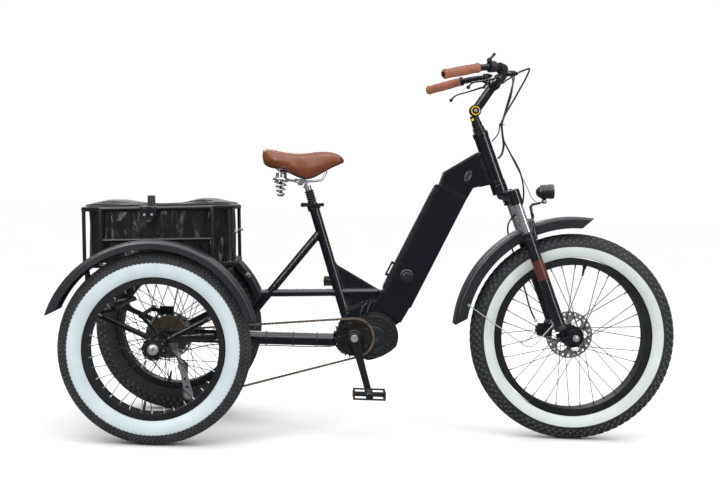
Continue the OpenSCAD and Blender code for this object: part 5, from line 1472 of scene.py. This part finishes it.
def make_frame_welds():
    """Weld beads along the frame's middle plane."""
    b = Build()
    main_way, rack_way, stay_way, seat_way = (1, 0, 0.01), (1, 0, 0.046), (237, 0, 307.5), (133, 0, -394.0)
    for x, z, way, r, size in ((549, 466.1, rack_way, 0.0128, 0.0019), (590, 468, rack_way, 0.0128, 0.0019),
                               (325, 456, rack_way, 0.0128, 0.0019), (481, 646, stay_way, 0.0133, 0.0019),
                               (270, 372, stay_way, 0.0133, 0.0019), (253, 331, (12, 0, 44), 0.0133, 0.0019),
                               (590, 404.5, seat_way, 0.0174, 0.0022), (543, 544, seat_way, 0.0174, 0.0016),
                               (104, 303.4, main_way, 0.0224, 0.0019), (556, 307, main_way, 0.0224, 0.0019)):
        bead(b, at(x, 0, z), way, r, size)
    b.make("frame_welds", "frame", "frame_paint")


def make_subframe_welds():
    """Weld beads where the arms and cross tubes meet the axle's carrier, on both sides."""
    b = Build()
    for s in (-1, 1):
        for x0, z0, x1, z1 in ((-18, 309, -211, 387), (18, 309, 186, 402)):
            way = unit((x1 - x0, 0, z1 - z0))
            bead(b, at(x0, s * 232, z0) + way * 0.022, way, 0.0092)
        for x, y, z, r in ((0, 216, 303, 0.0202), (0, 268, 299, 0.0202), (-150, 221, 404, 0.0082),
                           (189, 222, 518, 0.0077), (-237, 222, 498, 0.0077)):
            bead(b, at(x, s * y, z), (0, 1, 0), r)
    b.make("subframe_welds", "frame", "subframe_paint")


def make_rear_bolts():
    """Bolts of the axle's flanges and carrier, of the disc brake, and the dished heads under each rear fender."""
    b = Build()
    for s in (-1, 1):
        for i in range(6):
            b.bolt(at(0, s * 302, 299) + 0.0225 * spoke(TAU * (i + 0.5) / 6), (0, s, 0), 0.0032, 0.0026)
        b.bolt(at(72, s * 78, 310), (0, s, 0), 0.0052, 0.0046)
        b.bolt(at(12, s * 78, 302), (0, s, 0), 0.0046, 0.0042)
    b.lathe(at(150, -30.5, 305), (0, -1, 0),
            [(-0.01, 0.0082), (0.004, 0.0082), (0.0062, 0.0066), (0.0066, 0.0032)], 6)
    for x, y, z, way in ((-24, 57, 388, 1), (2, 57, 378, 1), (-26, 31, 388, -1)):
        b.bolt(at(x, y, z), (0, way, 0), 0.0040, 0.0036)
    for angle in (38, 128):
        for s in (-1, 1):
            b.lathe(at(-12, s * 323.5, 295) + 0.324 * spoke(math.radians(angle)), (0, -s, 0),
                    [(-0.0005, 0.0098), (0.0012, 0.0098), (0.002, 0.0088), (0.0022, 0.0062)], 24)
    b.make("rear_bolts", "frame", "silver_alloy")


# Along the battery's tube, square to it, and the foot of its cover
BATTERY_WAY = spoke(math.radians(65))
BATTERY_OUT = np.array([-BATTERY_WAY[2], 0, BATTERY_WAY[0]])
BATTERY_FOOT = at(710, 0, 479)


def make_battery_lock():
    """Raised ring round the lock, the capped charging port near the neck, and the collar that turns with the lock."""
    b = Build()
    lock = BATTERY_FOOT + BATTERY_WAY * 0.082 - BATTERY_OUT * 0.052
    b.lathe(lock + np.array([0, -0.039, 0]), (0, -1, 0),
            [(-0.0005, 0.0226), (0.0008, 0.0226), (0.0022, 0.0212), (0.0026, 0.0196), (0.0014, 0.0186),
             (-0.0005, 0.0186)], 56, closed=True)
    b.make("lock_surround", "frame", "battery_plastic")

    b = Build()
    port = at(984, -39.2, 873)
    edge = []
    for angle in np.arange(48) * TAU / 48:
        c = math.cos(angle)
        u, v = 0.019 * math.copysign(abs(c) ** 0.8, c), 0.0085 * math.sin(angle)
        edge.append(port + BATTERY_WAY * u + BATTERY_OUT * v)
    b.sweep(edge + edge[:1], 0.0016, 8, caps=False)
    inner = [port + (p - port) * 0.92 for p in edge]
    slab(b, [p + np.array([0, 0.0006, 0]) for p in inner], [p - np.array([0, 0.0009, 0]) for p in inner], 1)
    b.make("charge_port", "frame", "dark_alloy", ("soft_rubber",))

    b = Build()
    b.lathe(lock + np.array([0, -0.04205, 0]), (0, -1, 0),
            [(-0.0006, 0.0128), (0.0006, 0.0128), (0.0012, 0.0120), (0.0012, 0.0062), (0.0003, 0.0058)], 40)
    b.make("lock_collar", "lock", "lock_metal")


def make_battery_trim():
    """Seam, grip ribs and screws of the battery's cover."""
    b = Build()
    start, end, half_wide, lift = 0.018, 0.385, 0.0335, 0.0002
    edge = []
    for angle in np.arange(96) * TAU / 96:
        c, s = math.cos(angle), math.sin(angle)
        u = (start + end) / 2 + (end - start) / 2 * math.copysign(abs(c) ** 0.12, c)
        v = half_wide * math.copysign(abs(s) ** 0.2, s)
        edge.append(BATTERY_FOOT + BATTERY_WAY * u + BATTERY_OUT * lift + np.array([0, v, 0]))
    b.sweep(edge + edge[:1], 0.0011, 8, caps=False)
    for v in (-0.022, -0.011, 0, 0.011, 0.022):
        rib = [BATTERY_FOOT + BATTERY_WAY * u + BATTERY_OUT * lift + np.array([0, v, 0])
               for u in (0.14, 0.16, 0.30, 0.36)]
        b.sweep(rib, [0.0003, 0.0010, 0.0010, 0.0003], 8)
    for u in (0.030, 0.374):
        for v in (-0.024, 0.024):
            b.bolt(BATTERY_FOOT + BATTERY_WAY * u + np.array([0, v, 0]), BATTERY_OUT, 0.0028, 0.0012, 1)
    b.make("battery_cover_trim", "battery", "battery_plastic", ("silver_alloy",))


# ---------- fork and lamp ----------

def leg(side, l):
    """Point on the axis of one fork leg, l millimetres down from its top."""
    return HEAD + HEAD_AHEAD * 0.030 + np.array([0, side * 0.080, 0]) - HEAD_UP * (0.045 + l / 1000)


def make_fork_legs():
    """Wiper seals and end caps of the lowers, their coloured bands, and the crown's caps and pinch bolts."""
    b = Build()
    for s in (-1, 1):
        b.lathe(leg(s, 137.8), -HEAD_UP, [(-0.0042, 0.0152), (-0.0042, 0.0168), (-0.0015, 0.0196), (0.0, 0.0205),
                                          (0.0, 0.0152)], 48, closed=True)
        b.lathe(leg(s, 154.5), -HEAD_UP, [(0, 0.0212), (0.0016, 0.0218), (0.0034, 0.0212), (0.0040, 0.0197)], 48)
        b.lathe(leg(s, 462), -HEAD_UP,
                [(0, 0.0198), (0.004, 0.0212), (0.013, 0.0212), (0.016, 0.0185), (0.019, 0.012), (0.0195, 0.004)], 40)
    b.make("fork_seals", "fork", "soft_rubber")
    b = Build()
    for s in (-1, 1):
        b.lathe(leg(s, 232), -HEAD_UP, [(0, 0.01952), (0.0002, 0.01968), (0.068, 0.01968), (0.0682, 0.01952)], 56)
    b.make("fork_bands", "fork", RED, slot="fork_paint")
    b = Build()
    for s in (-1, 1):
        b.lathe(leg(s, -12), HEAD_UP, [(-0.0005, 0.0192), (0.003, 0.0186), (0.0042, 0.0165), (0.0042, 0.007),
                                       (0.002, 0.0062)], 44)
        b.bolt(leg(s, 18) - HEAD_AHEAD * 0.0205, -HEAD_AHEAD, 0.0036, 0.0032)
        b.bolt(leg(s, 30) - HEAD_AHEAD * 0.0205, -HEAD_AHEAD, 0.0036, 0.0032)
    b.make("crown_caps", "steering", "dark_alloy")


def make_fender_stays():
    """Wire stays from the front fender's tail to the back of each leg, with their screws."""
    b = Build()
    fender = at(1362, 0, 346)
    for s in (-1, 1):
        top = fender + 0.372 * spoke(math.radians(165)) + np.array([0, s * 0.0592, 0])
        low = leg(s, 452) - HEAD_AHEAD * 0.019 + np.array([0, s * 0.002, 0])
        bend = at(1211, s * 76, 303)
        b.sweep(filleted([top, top + unit(bend - top) * 0.02, bend, low], 0.03, 8), 0.0019, 12)
        b.lathe(top - np.array([0, s * 0.002, 0]), (0, s, 0), [(0, 0.0062), (0.0026, 0.0062), (0.0044, 0.0046)], 6)
        b.lathe(low - np.array([0, s * 0.004, 0]), (0, s, 0),
                [(-0.002, 0.0058), (0.0046, 0.0058), (0.0058, 0.0044)], 24)
    bridge = spoke(math.radians(112))
    for y in (-0.015, 0.015):
        b.bolt(fender + 0.4043 * bridge + np.array([0, y, 0]), bridge, 0.0048, 0.0026)
    b.make("front_fender_stays", "fork", "silver_alloy")


def make_caliper_bolts():
    """Screws and piston cap on the outside of the front caliper."""
    b = Build()
    for x, y, z in ((1290, 66, 374), (1262, 66, 348), (1288, 66, 348)):
        b.bolt(at(x, y, z), (0, 1, 0), 0.0044, 0.0038)
    b.lathe(at(1281, 66, 361), (0, 1, 0),
            [(-0.001, 0.0125), (0.002, 0.0125), (0.0036, 0.0108), (0.0036, 0.004)], 32, 1)
    for x, z in ((1278, 382), (1278, 340)):
        b.bolt(at(x, 66, z), (0, 1, 0), 0.0052, 0.0065)
    b.make("front_caliper_bolts", "fork", "silver_alloy", ("dark_alloy",))


def make_lamp():
    """Bezel, domed lens and reflector of the headlight, and its bracket's bolts."""
    b = Build()
    nose = unit(np.array([42, 0, 2.7]))
    front = at(1276, 0, 832)
    b.lathe(front, nose, [(-0.004, 0.0236), (0.0006, 0.0244), (0.0022, 0.0240), (0.0030, 0.0226), (0.0030, 0.0206),
                          (-0.0035, 0.0200)], 56)
    b.lathe(front - nose * 0.0005, nose, [(0.0, 0.0202), (0.0016, 0.0202), (0.0034, 0.0160), (0.0044, 0.0100),
                                          (0.0048, 0.0030)], 48, 1)
    b.lathe(front - nose * 0.0022, nose, [(0, 0.0200), (0.0004, 0.0196), (0.0010, 0.0120), (0.0002, 0.0060),
                                          (0.0012, 0.0030)], 48, 2)
    b.make("lamp_bezel", "lamp", "lamp_plastic", (LENS, "chromed_steel"))
    b = Build()
    for s in (-1, 1):
        b.bolt(at(1248, s * 14, 797), (0, s, 0), 0.0046, 0.0036)
        b.bolt(at(1213.5, s * 8, 746), (1, 0, 0), 0.0036, 0.0026)
    b.make("lamp_bolts", "fork", "silver_alloy")


def make_clamp_cap():
    """Cap over the seat clamp's cam."""
    b = Build()
    b.lathe(at(437, -30, 756), (0, -1, 0), [(-0.0006, 0.0062), (0.0016, 0.0062), (0.0026, 0.0050)], 28)
    b.make("clamp_cam_cap", "clamp_lever", "silver_alloy")


make_chain()
make_drive()
make_motor_details()
make_frame_welds()
make_subframe_welds()
make_rear_bolts()
make_battery_lock()
make_battery_trim()
make_fork_legs()
make_fender_stays()
make_caliper_bolts()
make_lamp()
make_clamp_cap()
